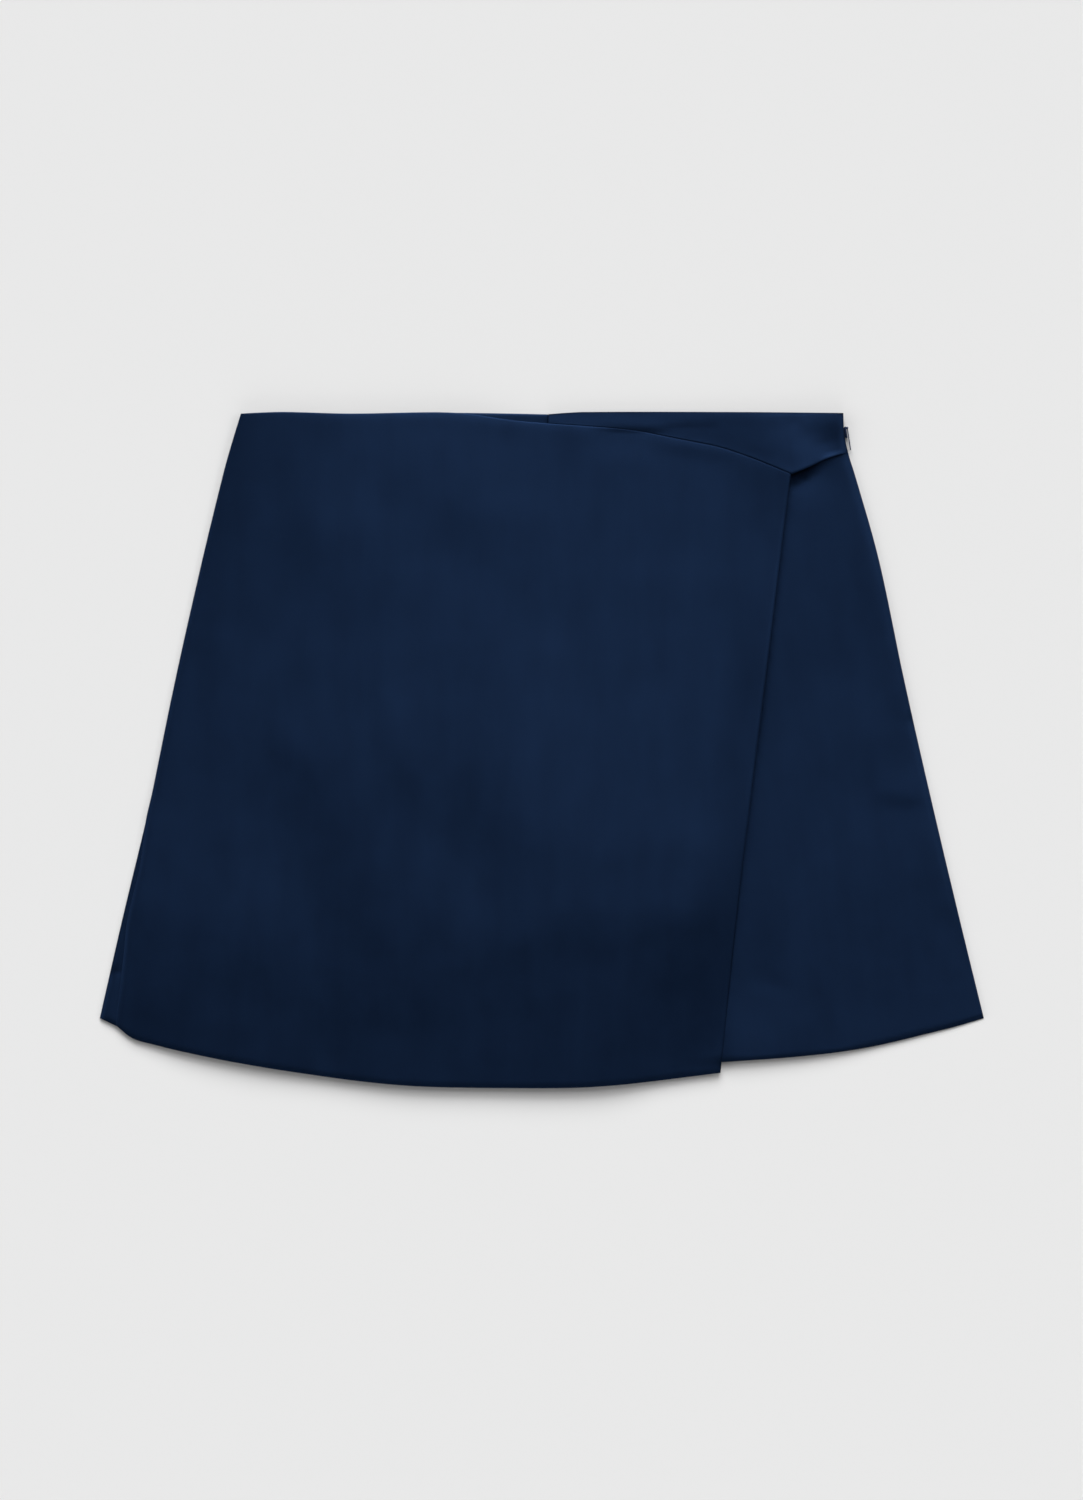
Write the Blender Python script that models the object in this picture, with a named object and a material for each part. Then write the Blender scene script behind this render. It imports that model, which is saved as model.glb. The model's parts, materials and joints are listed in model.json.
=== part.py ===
"""Wrap skort laid flat on its back: A-line shorts under a front wrap panel.

The underside lies on the plane z = 0, the waist points to +Y and the front
faces +Z. Left and right are the wearer's, so the left side seam, with its
invisible zip, is at +X. The layers lie on each other: two back panels, two
front panels, then the wrap panel and the shaped band that finishes its top.
Sizes are in millimetres and become metres when a mesh is made.
"""

import math
from typing import NamedTuple

import bmesh
import bpy
from mathutils import Vector

MM = 0.001

# Cloth, and the air kept between pieces.
CLOTH = 1.2
GAP = 0.3
SEAM_GAP = 0.45

# Centre seams of the shorts, and the crotch where the two legs part.
CENTRE_X = 4.1
CROTCH_Y = -78.0
INSEAM_SPREAD = 8.0
WAIST_Y = 205.3  # where the side seams meet the waist
BACK_HEM_SHORTER = 1.2

# Rows of a panel lie closer together near the waist, where its edges turn.
# A point of a table nearer than NEAR to the end of a stretch is left out.
ROW_GRADE = 1.3
NEAR = 3.0
BACK_SIDE_POINTS = 24
BACK_HEM_POINTS = 12
BACK_WAIST_POINTS = 8
LEG_GRID = (14, 18)
WRAP_GRID = (28, 24)
BAND_ROWS = 9
BAND_COLUMNS = 15
TAB_COLUMNS = 8
TAPE_ROWS = 14
SEAM_STEP = 9.0

# Air between the back and front of the shorts: how much, and how far in from
# the side seams and the waist the cloth reaches it.
SHORTS_LOFT = 3.4
SHORTS_SIDE_REACH = 120.0
SHORTS_WAIST_REACH = 160.0
SHORTS_HEM_DROP = 0.3
SHORTS_DROP_FROM_Y = -90.0
SHORTS_DROP_REACH = 110.0

# Air between the shorts and the wrap.
WRAP_LOFT = 3.3
WRAP_LEAST = 0.3
WRAP_LEAST_REACH = 20.0
WRAP_SIDE_REACH = 110.0
WRAP_WAIST_REACH = 230.0
WRAP_EDGE_ROLL = 0.78
WRAP_EDGE_REACH = 70.0
WRAP_ROLL_Y = 150.0
WRAP_HEM_DROP = 0.45
WRAP_HEM_REACH = 110.0

# How far through its fade a fold is where its line ends.
FOLD_END = 0.12

# The tab's end of the band stands up off the leg and is gathered at the seam.
TAB_LIFT = 1.6
TAB_LIFT_REACH = 26.0
TAB_LIFT_OFFSET = 4.0
GATHER_HEIGHT = 0.45
GATHER_PITCH = 8.5
GATHER_START_Y = 176.0
GATHER_REACH = 42.0
GATHER_FULL = 6.0

# Invisible zip in the left side seam.
ZIP_TOP_Y = 203.0
ZIP_END_Y = 20.0
TAPE_WIDTH = 8.0
TAPE_INSET = 0.2
TAPE_THICK = 0.8
ZIP_ROOM = TAPE_THICK + 1.5 * GAP
ZIP_ROOM_REACH = 110.0
ZIP_FADE = 50.0
SLIDER_Y = 193.5
SLIDER_SIZE = (0.9, 7.0, 4.2)
SLIDER_BEVEL = 0.3
SLIDER_CLEARANCE = 0.6
SLIDER_LEAN_ABOVE = 5.0
SLIDER_LEAN_BELOW = 10.0
ZIP_MID_Z = 2.9

# The slider's two ears hold a pin, and the pull's eye turns on it.
HINGE_OUT = 0.9
HINGE_ALONG = 2.6
EAR_SIZE = (1.7, 1.3, 0.5)
EAR_BEVEL = 0.12
EAR_MID_Z = 1.7
PIN_RADIUS = 0.25
PIN_LENGTH = 3.4
EYE_RADIUS = 0.6
EYE_HOLE_RADIUS = 0.37
EYE_LENGTH = 2.2
PULL_SIZE = (0.6, 13.0, 2.4)
PULL_BEVEL = 0.2
ROD_SIDES = 16


class SideRow(NamedTuple):
    """Where the two side seams lie at one height."""

    y: float
    right_x: float
    left_x: float


class Point(NamedTuple):
    """A point of an outline."""

    x: float
    y: float


class StripRow(NamedTuple):
    """How much of the right leg shows outside the wrap at one height."""

    y: float
    width: float


class Fold(NamedTuple):
    """A soft trough in the cloth, along a line of points."""

    line: tuple
    width: float
    depth: float


SIDE_ROWS = (
    SideRow(205.3, -183.3, 184.0),
    SideRow(198.0, -185.5, 184.2),
    SideRow(189.3, -188.1, 185.0),
    SideRow(177.1, -191.7, 188.2),
    SideRow(164.9, -194.9, 192.0),
    SideRow(116.1, -206.8, 205.7),
    SideRow(42.9, -223.3, 221.1),
    SideRow(-30.3, -238.3, 237.7),
    SideRow(-103.5, -255.7, 255.1),
    SideRow(-163.6, -269.4, 269.8),
)

STRIP_ROWS = (
    StripRow(205.3, 0.0),
    StripRow(-44.0, 0.0),
    StripRow(-68.0, 2.8),
    StripRow(-105.0, 3.2),
    StripRow(-126.0, 6.0),
    StripRow(-150.0, 8.6),
    StripRow(-168.0, 10.4),
)

WAIST_LINE = (
    Point(-183.3, 204.9),
    Point(-159.0, 205.9),
    Point(-117.0, 204.9),
    Point(-63.6, 205.7),
    Point(-25.0, 205.3),
    Point(4.1, 204.7),
    Point(24.0, 206.0),
    Point(121.0, 206.0),
    Point(184.0, 205.4),
)

# The top of the wrap right of its start: the seam with the band.
BAND_SEAM = (
    Point(-63.6, 205.7),
    Point(-43.4, 204.6),
    Point(-17.8, 200.9),
    Point(4.1, 199.0),
    Point(53.6, 195.0),
    Point(87.1, 188.8),
    Point(109.7, 184.1),
    Point(131.0, 176.7),
    Point(152.0, 167.9),
)

# The tab's lower edge, from the wrap's corner to the left side seam.
TAB_EDGE = (
    Point(152.6, 168.2),
    Point(163.0, 172.4),
    Point(174.9, 178.0),
    Point(187.2, 181.6),
)

WRAP_FREE_EDGE = (
    Point(152.0, 167.9),
    Point(141.1, 79.5),
    Point(121.3, -81.6),
    Point(109.1, -196.9),
)

WRAP_HEM = (
    Point(-259.4, -168.0),
    Point(-254.7, -174.0),
    Point(-208.1, -186.2),
    Point(-147.1, -196.9),
    Point(-86.1, -204.3),
    Point(-25.1, -206.0),
    Point(35.9, -205.1),
    Point(109.1, -196.9),
)

# The legs' hems, from the inseam outwards.
LEFT_HEM = (
    Point(CENTRE_X + INSEAM_SPREAD, -194.0),
    Point(110.9, -190.2),
    Point(188.4, -183.2),
    Point(249.4, -169.5),
    Point(269.8, -163.6),
)

RIGHT_HEM = (
    Point(CENTRE_X - INSEAM_SPREAD, -194.0),
    Point(-110.9, -191.2),
    Point(-188.4, -184.2),
    Point(-249.4, -172.0),
    Point(-269.4, -163.6),
)

# The waist of the front panels, from the centre seam outwards, under the wrap.
LEFT_FRONT_WAIST = (
    Point(CENTRE_X + GAP / 2.0, 198.0),
    Point(70.0, 201.0),
    Point(183.8, 204.2),
)

RIGHT_FRONT_WAIST = (
    Point(CENTRE_X - GAP / 2.0, 198.0),
    Point(-20.0, 199.4),
    Point(-63.6, 203.2),
    Point(-120.0, 203.6),
    Point(-183.2, 203.9),
)

WRAP_FOLDS = (
    Fold((Point(-159, 150), Point(-168, 55), Point(-135, -45), Point(-129, -110)), 24, 1.0),
    Fold((Point(-98, 89), Point(-71, -24), Point(-28, -85), Point(-10, -104)), 22, 0.9),
    Fold((Point(-92, 177), Point(-50, 131), Point(-4, 86)), 22, 0.5),
)

LEG_FOLDS = (
    Fold((Point(185, 120), Point(219, -30), Point(201, -125)), 22, 0.7),
)

NAVY = (0.0072, 0.0153, 0.0423, 1.0)
NAVY_INSIDE = (0.0080, 0.0165, 0.0440, 1.0)
NAVY_TAPE = (0.0060, 0.0110, 0.0300, 1.0)
NAVY_LACQUER = (0.0100, 0.0150, 0.0320, 1.0)


def clamp(value):
    """Value limited to 0 to 1."""
    return min(max(value, 0.0), 1.0)


def ease(distance, reach):
    """Rise from 0 at a folded edge to 1 at reach, steep at first."""
    return 1.0 - (1.0 - clamp(distance / reach)) ** 2


def smooth(value, low, high):
    """Rise from 0 at low to 1 at high with level ends."""
    part = clamp((value - low) / (high - low))
    return part * part * (3.0 - 2.0 * part)


def table_value(rows, y, column):
    """Read a column of a table that is sorted from the waist down."""
    if y >= rows[0].y:
        return getattr(rows[0], column)
    for upper, lower in zip(rows, rows[1:]):
        if y >= lower.y:
            part = (upper.y - y) / (upper.y - lower.y)
            start = getattr(upper, column)
            return start + part * (getattr(lower, column) - start)
    return getattr(rows[-1], column)


class Edge:
    """An edge through a few points, read by the fraction of its length.

    It is smooth, or with one step between points made of straight runs.
    """

    def __init__(self, points, steps=12):
        self.nodes = [Vector(point) for point in points]
        self.path = [self.nodes[0]]
        for index in range(len(self.nodes) - 1):
            for step in range(1, steps + 1):
                self.path.append(self._between(index, step / steps))
        self.lengths = [0.0]
        for start, end in zip(self.path, self.path[1:]):
            self.lengths.append(self.lengths[-1] + (end - start).length)

    def _tangent(self, index):
        before = self.nodes[max(index - 1, 0)]
        after = self.nodes[min(index + 1, len(self.nodes) - 1)]
        return (after - before).normalized()

    def _between(self, index, part):
        start, end = self.nodes[index], self.nodes[index + 1]
        span = (end - start).length
        square, cube = part * part, part ** 3
        return (
            start * (2 * cube - 3 * square + 1)
            + self._tangent(index) * span * (cube - 2 * square + part)
            + end * (3 * square - 2 * cube)
            + self._tangent(index + 1) * span * (cube - square)
        )

    def __call__(self, part):
        target = clamp(part) * self.lengths[-1]
        for index in range(len(self.path) - 1):
            if target <= self.lengths[index + 1] or index == len(self.path) - 2:
                span = self.lengths[index + 1] - self.lengths[index]
                inner = (target - self.lengths[index]) / span
                return self.path[index].lerp(self.path[index + 1], clamp(inner))
        return self.path[-1].copy()

    def crossing(self, axis, value):
        """Point where the edge reaches a value on one axis, 0 for X and 1 for Y."""
        for index, (start, end) in enumerate(zip(self.path, self.path[1:])):
            low, high = sorted((start[axis], end[axis]))
            if low <= value <= high and high > low:
                inner = (value - start[axis]) / (end[axis] - start[axis])
                return start.lerp(end, inner), self._reached(index, inner)
        ends = (self.path[0], self.path[-1])
        last = abs(value - ends[1][axis]) < abs(value - ends[0][axis])
        return ends[last].copy(), float(last)

    def _reached(self, index, inner):
        step = self.lengths[index + 1] - self.lengths[index]
        return (self.lengths[index] + inner * step) / self.lengths[-1]

    def y_at(self, x):
        """Y where the edge reaches x."""
        return self.crossing(0, x)[0].y

    def x_at(self, y):
        """X where the edge reaches y."""
        return self.crossing(1, y)[0].x

    def stretch(self, start_y, end_y, inset=0.0):
        """The part of a side seam between two heights, moved in by inset."""
        count = max(3, round(abs(start_y - end_y) / SEAM_STEP))
        points = []
        for part in even(count):
            y = start_y + (end_y - start_y) * part
            x = self.x_at(y)
            points.append(Point(x - math.copysign(inset, x), y))
        return Edge(points)


def even(count, grade=1.0):
    """Fractions from 0 to 1, evenly spaced or, with a grade over 1, closer at the start."""
    return [(index / count) ** grade for index in range(count + 1)]


RIGHT_SEAM = Edge([Point(row.right_x, row.y) for row in SIDE_ROWS])
LEFT_SEAM = Edge([Point(row.left_x, row.y) for row in SIDE_ROWS])
WAIST = Edge(WAIST_LINE)
WRAP_HEM_EDGE = Edge(WRAP_HEM)


def wrap_free_x(y):
    """X of the wrap's free edge, carried straight on past its ends."""
    start, end = WRAP_FREE_EDGE[0], WRAP_FREE_EDGE[-1]
    for upper, lower in zip(WRAP_FREE_EDGE, WRAP_FREE_EDGE[1:]):
        if lower.y <= y <= upper.y:
            start, end = upper, lower
    return start.x + (end.x - start.x) * (start.y - y) / (start.y - end.y)


def fold_dip(x, y, fold):
    """Depth of one soft trough at a point, fading out at both its ends."""
    here = Vector((x, y))
    nearest, along, total = math.inf, 0.0, 0.0
    for start, end in zip(fold.line, fold.line[1:]):
        start, end = Vector(start), Vector(end)
        span = (end - start).length
        part = clamp((here - start).dot(end - start) / span ** 2)
        gap = (here - start.lerp(end, part)).length
        if gap < nearest:
            nearest, along = gap, total + part * span
        total += span
    fade = math.sin(math.pi * (FOLD_END + (1.0 - 2.0 * FOLD_END) * along / total))
    return fold.depth * fade * math.exp(-((nearest / fold.width) ** 2))


def shorts_loft(x, y):
    """Air under the front panels of the shorts, above the least gap."""
    from_left = LEFT_SEAM.x_at(y) - x
    from_right = x - RIGHT_SEAM.x_at(y)
    rise = ease(from_right, SHORTS_SIDE_REACH) * ease(from_left, SHORTS_SIDE_REACH)
    rise *= ease(WAIST_Y - y, SHORTS_WAIST_REACH)
    rise *= 1.0 - SHORTS_HEM_DROP * smooth(SHORTS_DROP_FROM_Y - y, 0.0, SHORTS_DROP_REACH)
    zip_zone = smooth(y, ZIP_END_Y - ZIP_FADE, ZIP_END_Y)
    zip_lift = ZIP_ROOM * zip_zone * (1.0 - ease(from_left, ZIP_ROOM_REACH))
    dips = sum(fold_dip(x, y, fold) for fold in LEG_FOLDS)
    return (SHORTS_LOFT - dips) * rise + zip_lift


def front_under(x, y):
    """Underside of the front panels."""
    return CLOTH + GAP + shorts_loft(x, y)


def tab_lift(x, y):
    """Lift of the tab and of the wrap's top corner off the front panel."""
    corner = WRAP_FREE_EDGE[0]
    away = math.hypot(x - corner.x - TAB_LIFT_OFFSET, y - corner.y)
    return TAB_LIFT * math.exp(-((away / TAB_LIFT_REACH) ** 2))


def wrap_loft(x, y):
    """Air under the wrap panel and band, above the least gap."""
    from_right = x - RIGHT_SEAM.x_at(y)
    rise = ease(from_right, WRAP_SIDE_REACH) * ease(WAIST_Y - y, WRAP_WAIST_REACH)
    lowness = smooth(-y, -WRAP_ROLL_Y, WRAP_ROLL_Y)
    from_edge = ease(wrap_free_x(y) - x, WRAP_EDGE_REACH)
    from_hem = ease(y - WRAP_HEM_EDGE.y_at(x), WRAP_HEM_REACH)
    rise *= 1.0 - WRAP_EDGE_ROLL * lowness * (1.0 - from_edge)
    rise *= 1.0 - WRAP_HEM_DROP * (1.0 - from_hem)
    dips = sum(fold_dip(x, y, fold) for fold in WRAP_FOLDS)
    least = WRAP_LEAST * ease(from_right, WRAP_LEAST_REACH)
    return least + (WRAP_LOFT - dips) * rise + tab_lift(x, y)


def upper_under(x, y):
    """Underside of the wrap panel and of the band."""
    return front_under(x, y) + CLOTH + GAP + wrap_loft(x, y)


def band_under(x, y):
    """Underside of the band, with small ridges gathered at the side seam."""
    seam_x = LEFT_SEAM.x_at(y)
    reach = smooth(x, seam_x - GATHER_REACH, seam_x - GATHER_FULL)
    wave = 1.0 + math.sin((y - GATHER_START_Y) * math.tau / GATHER_PITCH)
    return upper_under(x, y) + GATHER_HEIGHT * reach * wave


def make_material(name, colour, roughness, metallic=0.0):
    """A Principled material."""
    material = bpy.data.materials.new(name)
    material.use_nodes = True
    shader = material.node_tree.nodes["Principled BSDF"]
    shader.inputs["Base Color"].default_value = colour
    shader.inputs["Roughness"].default_value = roughness
    shader.inputs["Metallic"].default_value = metallic
    material.diffuse_color = colour
    return material


def add_object(name, bm, material):
    """Turn a bmesh in metres into an object with one material."""
    bmesh.ops.recalc_face_normals(bm, faces=bm.faces)
    mesh = bpy.data.meshes.new(name)
    bm.to_mesh(mesh)
    bm.free()
    mesh.materials.append(material)
    mesh.shade_smooth()
    mesh.set_sharp_from_angle(angle=math.radians(35.0))
    thing = bpy.data.objects.new(name, mesh)
    bpy.context.scene.collection.objects.link(thing)
    return thing


def patch_point(edges, across, down):
    """Point of the surface that spans four edges (a Coons patch)."""
    top, bottom, left, right = edges
    ruled = top(across).lerp(bottom(across), down) + left(down).lerp(right(down), across)
    upper = top(0.0).lerp(top(1.0), across)
    lower = bottom(0.0).lerp(bottom(1.0), across)
    return ruled - upper.lerp(lower, down)


def cloth_wall(name, edges, across, down, under, material):
    """A wall of cloth that fills four edges, over the height under(x, y)."""
    bm = bmesh.new()
    grids = []
    for lift in (0.0, CLOTH):
        grid = []
        for row in down:
            spots = [patch_point(edges, column, row) for column in across]
            grid.append([bm.verts.new(Vector((*p, under(*p) + lift)) * MM) for p in spots])
        grids.append(grid)
    low, high = grids
    rows, columns = len(down) - 1, len(across) - 1
    for i in range(rows):
        for j in range(columns):
            bm.faces.new((high[i][j], high[i + 1][j], high[i + 1][j + 1], high[i][j + 1]))
            bm.faces.new((low[i][j], low[i][j + 1], low[i + 1][j + 1], low[i + 1][j]))
    rims = (
        [(0, j) for j in range(columns + 1)],
        [(i, columns) for i in range(rows + 1)],
        [(rows, j) for j in reversed(range(columns + 1))],
        [(i, 0) for i in reversed(range(rows + 1))],
    )
    for rim in rims:
        for (i, j), (k, m) in zip(rim, rim[1:]):
            bm.faces.new((low[i][j], low[k][m], high[k][m], high[i][j]))
    add_object(name, bm, material)


def flat_cloth(name, outline, material):
    """A flat wall of cloth on the plane z = 0."""
    bm = bmesh.new()
    face = bm.faces.new([bm.verts.new(Vector((*p, 0.0)) * MM) for p in outline])
    grown = bmesh.ops.extrude_face_region(bm, geom=[face])["geom"]
    risen = [item for item in grown if isinstance(item, bmesh.types.BMVert)]
    bmesh.ops.translate(bm, verts=risen, vec=Vector((0.0, 0.0, CLOTH * MM)))
    add_object(name, bm, material)


def moved(points, dx, dy):
    """Points moved by dx, dy."""
    return tuple(Point(point.x + dx, point.y + dy) for point in points)


def waist_between(start_x, end_x):
    """Points of the waist line between two places."""
    inner = [point for point in WAIST_LINE if start_x + NEAR < point.x < end_x - NEAR]
    return (Point(start_x, WAIST.y_at(start_x)), *inner, Point(end_x, WAIST.y_at(end_x)))


def build_back_leg(name, waist, seam, hem, material):
    """A flat back panel; waist and hem run from the centre outwards."""
    top = Edge(waist)
    bottom = Edge(moved(hem, 0.0, BACK_HEM_SHORTER))
    side = seam.stretch(waist[-1].y, hem[-1].y + BACK_HEM_SHORTER)
    outline = [top(part) for part in even(BACK_WAIST_POINTS)]
    outline += [side(part) for part in even(BACK_SIDE_POINTS, ROW_GRADE)][1:]
    outline += [bottom(1.0 - part) for part in even(BACK_HEM_POINTS)][1:]
    outline.append(Vector((waist[0].x, CROTCH_Y)))
    flat_cloth(name, outline, material)


def build_front_leg(name, waist, seam, hem, material):
    """A front panel of the shorts, lofted; its edges run from the centre outwards."""
    centre = waist[0].x
    inner = Edge((waist[0], Point(centre, CROTCH_Y), hem[0]), steps=1)
    side = seam.stretch(waist[-1].y, hem[-1].y)
    edges = (Edge(waist), Edge(hem), inner, side)
    columns, rows = LEG_GRID
    cloth_wall(name, edges, even(columns), even(rows, ROW_GRADE), front_under, material)


def build_wrap_panel(material):
    """The wrap panel, from the right side seam to its free edge."""
    start = [point for point in WAIST_LINE if point.x < BAND_SEAM[0].x - NEAR]
    top = Edge((*start, *BAND_SEAM))
    seam_rows = [row for row in SIDE_ROWS if STRIP_ROWS[1].y < row.y < start[0].y - NEAR]
    side = [start[0], *(Point(row.right_x, row.y) for row in seam_rows)]
    side += [Point(RIGHT_SEAM.x_at(row.y) + row.width, row.y) for row in STRIP_ROWS[1:-1]]
    side.append(WRAP_HEM[0])
    edges = (top, WRAP_HEM_EDGE, Edge(side), Edge(WRAP_FREE_EDGE))
    columns, rows = WRAP_GRID
    cloth_wall("wrap_panel", edges, even(columns), even(rows), upper_under, material)


def build_wrap_band(material):
    """The band along the wrap's top, with its gathered tab."""
    start_x = CENTRE_X + GAP / 2.0
    waist = Edge(waist_between(start_x, WAIST_LINE[-1].x - GAP))
    seam_start = Point(start_x, Edge(BAND_SEAM).y_at(start_x))
    seam = [point for point in BAND_SEAM if point.x > start_x + NEAR][:-1]
    on_wrap = Edge((*moved((seam_start, *seam), 0.0, SEAM_GAP), TAB_EDGE[0]))
    lower = Edge(on_wrap.path + Edge(TAB_EDGE).path[1:], steps=1)
    end = Edge((waist(0.0), lower(0.0)))
    side = LEFT_SEAM.stretch(waist(1.0).y, TAB_EDGE[-1].y)
    corner = lower.crossing(0, TAB_EDGE[0].x)[1]
    along_wrap = [corner * part for part in even(BAND_COLUMNS)]
    along_tab = [corner + (1.0 - corner) * part for part in even(TAB_COLUMNS)]
    across = along_wrap + along_tab[1:]
    cloth_wall("wrap_band", (waist, lower, end, side), across, even(BAND_ROWS), band_under, material)


def build_zip_tape(material):
    """The zip's tape between the back and front panels, at the left seam."""
    outer = LEFT_SEAM.stretch(ZIP_TOP_Y, ZIP_END_Y, TAPE_INSET)
    inner = LEFT_SEAM.stretch(ZIP_TOP_Y, ZIP_END_Y, TAPE_WIDTH)
    floor = CLOTH + GAP
    bm = bmesh.new()
    rings = []
    for part in even(TAPE_ROWS, ROW_GRADE):
        corners = (
            (*inner(part), floor),
            (*outer(part), floor),
            (*outer(part), floor + TAPE_THICK),
            (*inner(part), floor + TAPE_THICK),
        )
        rings.append([bm.verts.new(Vector(corner) * MM) for corner in corners])
    for ring, following in zip(rings, rings[1:]):
        for k in range(4):
            after = (k + 1) % 4
            bm.faces.new((ring[k], ring[after], following[after], following[k]))
    bm.faces.new(rings[0])
    bm.faces.new(rings[-1][::-1])
    add_object("zip_tape", bm, material)


def rounded_block(size, bevel):
    """A block centred on the origin with rounded edges, in metres."""
    bm = bmesh.new()
    bmesh.ops.create_cube(bm, size=1.0)
    bmesh.ops.scale(bm, vec=Vector(size) * MM, verts=bm.verts)
    bmesh.ops.bevel(bm, geom=bm.edges[:], offset=bevel * MM, segments=2, profile=0.5, affect="EDGES")
    return bm


def round_rod(radius, length):
    """A round bar along Z, centred on the origin, in metres."""
    bm = bmesh.new()
    bmesh.ops.create_cone(
        bm, cap_ends=True, segments=ROD_SIDES, radius1=radius * MM, radius2=radius * MM, depth=length * MM
    )
    return bm


def combine(thing, operation, name, bm, place=(0.0, 0.0, 0.0)):
    """Join a hidden shape to a thing, or cut it from the thing, where it lies in the thing's frame."""
    tool = add_object(name, bm, thing.data.materials[0])
    tool.parent = thing
    tool.location = Vector(place) * MM
    tool.hide_render = True
    tool.display_type = "WIRE"
    boolean = thing.modifiers.new(name, "BOOLEAN")
    boolean.operation = operation
    boolean.object = tool
    boolean.solver = "EXACT"


def build_zip_metal(slider_material, pull_material):
    """The slider on the seam's outer edge, and the pull hinged on it."""
    ends = (SLIDER_Y + SLIDER_LEAN_ABOVE, SLIDER_Y - SLIDER_LEAN_BELOW)
    start, end = (Vector((LEFT_SEAM.x_at(y), y)) for y in ends)
    down = (end - start).normalized()
    outward = Vector((-down.y, down.x))
    angle = math.atan2(outward.y, outward.x)
    half = SLIDER_SIZE[0] / 2.0
    middle = Vector((LEFT_SEAM.x_at(SLIDER_Y), SLIDER_Y)) + outward * (SLIDER_CLEARANCE + half)

    slider = add_object("zip_slider", rounded_block(SLIDER_SIZE, SLIDER_BEVEL), slider_material)
    slider.location = Vector((*middle, ZIP_MID_Z)) * MM
    slider.rotation_euler.z = angle
    for name, side in (("ear_upper", 1.0), ("ear_lower", -1.0)):
        ear = rounded_block(EAR_SIZE, EAR_BEVEL)
        combine(slider, "UNION", name, ear, (half + HINGE_OUT / 2.0, HINGE_ALONG, side * EAR_MID_Z))
    pin = round_rod(PIN_RADIUS, PIN_LENGTH)
    combine(slider, "UNION", "pin", pin, (half + HINGE_OUT, HINGE_ALONG, 0.0))

    hinge = middle + outward * (half + HINGE_OUT) - down * HINGE_ALONG
    pull = add_object("zip_pull", round_rod(EYE_RADIUS, EYE_LENGTH), pull_material)
    pull.location = Vector((*hinge, ZIP_MID_Z)) * MM
    pull.rotation_euler.z = angle
    plate = rounded_block(PULL_SIZE, PULL_BEVEL)
    combine(pull, "UNION", "plate", plate, (0.0, -PULL_SIZE[1] / 2.0, 0.0))
    combine(pull, "DIFFERENCE", "eye", round_rod(EYE_HOLE_RADIUS, PULL_SIZE[2] * 2.0))


def build():
    """Model the whole garment."""
    for thing in list(bpy.data.objects):
        bpy.data.objects.remove(thing, do_unlink=True)
    front = make_material("crepe_front", NAVY, 0.85)
    back = make_material("crepe_back", NAVY_INSIDE, 0.88)
    wrap = make_material("crepe_wrap", NAVY, 0.85)
    band = make_material("crepe_band", NAVY, 0.85)
    tape = make_material("zip_tape", NAVY_TAPE, 0.9)
    slider = make_material("zip_slider", NAVY_LACQUER, 0.35)
    pull = make_material("zip_pull", NAVY_LACQUER, 0.3)

    left_waist = waist_between(CENTRE_X + GAP / 2.0, WAIST_LINE[-1].x - GAP)
    right_waist = waist_between(WAIST_LINE[0].x + GAP, CENTRE_X - GAP / 2.0)[::-1]
    build_back_leg("back_leg_left", left_waist, LEFT_SEAM, LEFT_HEM, back)
    build_back_leg("back_leg_right", right_waist, RIGHT_SEAM, RIGHT_HEM, back)
    build_front_leg("front_leg_left", LEFT_FRONT_WAIST, LEFT_SEAM, LEFT_HEM, front)
    build_front_leg("front_leg_right", RIGHT_FRONT_WAIST, RIGHT_SEAM, RIGHT_HEM, front)
    build_wrap_panel(wrap)
    build_wrap_band(band)
    build_zip_tape(tape)
    build_zip_metal(slider, pull)


build()
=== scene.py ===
"""Looks of the wrap skort laid flat: crepe panels, band, side zip and stitches.

Each cloth piece is a thin shell on the form of its CAD solid, with its soft
folds listed one by one. Tables and lengths are in millimetres, with X across the
garment, Y up to the waist and Z up from the surface it lies on. They become
metres when a mesh is made.
"""

import json
import logging
import math
from dataclasses import dataclass, field
from enum import Enum
from typing import Callable, Sequence

import bmesh
import bpy
import numpy as np
from mathutils import Matrix, Vector, noise
from mathutils.bvhtree import BVHTree

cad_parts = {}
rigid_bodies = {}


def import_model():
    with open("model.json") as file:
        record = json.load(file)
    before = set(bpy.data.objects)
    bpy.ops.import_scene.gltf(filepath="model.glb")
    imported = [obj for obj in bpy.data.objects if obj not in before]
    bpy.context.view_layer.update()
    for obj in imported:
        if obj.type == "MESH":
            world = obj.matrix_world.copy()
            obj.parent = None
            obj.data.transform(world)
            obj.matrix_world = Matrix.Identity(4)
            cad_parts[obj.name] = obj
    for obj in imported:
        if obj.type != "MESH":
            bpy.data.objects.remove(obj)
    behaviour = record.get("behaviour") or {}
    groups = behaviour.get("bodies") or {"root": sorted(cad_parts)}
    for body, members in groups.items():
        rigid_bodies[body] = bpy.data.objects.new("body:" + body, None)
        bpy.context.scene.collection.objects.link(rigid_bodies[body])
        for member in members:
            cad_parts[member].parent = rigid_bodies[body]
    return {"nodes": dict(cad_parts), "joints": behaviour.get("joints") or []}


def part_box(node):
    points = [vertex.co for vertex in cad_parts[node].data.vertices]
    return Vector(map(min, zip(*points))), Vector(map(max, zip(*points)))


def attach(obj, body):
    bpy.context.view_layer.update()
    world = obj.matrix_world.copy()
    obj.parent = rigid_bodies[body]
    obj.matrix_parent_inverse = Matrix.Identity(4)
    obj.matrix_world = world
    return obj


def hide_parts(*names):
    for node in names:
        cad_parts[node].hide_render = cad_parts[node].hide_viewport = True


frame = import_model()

LOG = logging.getLogger("skort")

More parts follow.
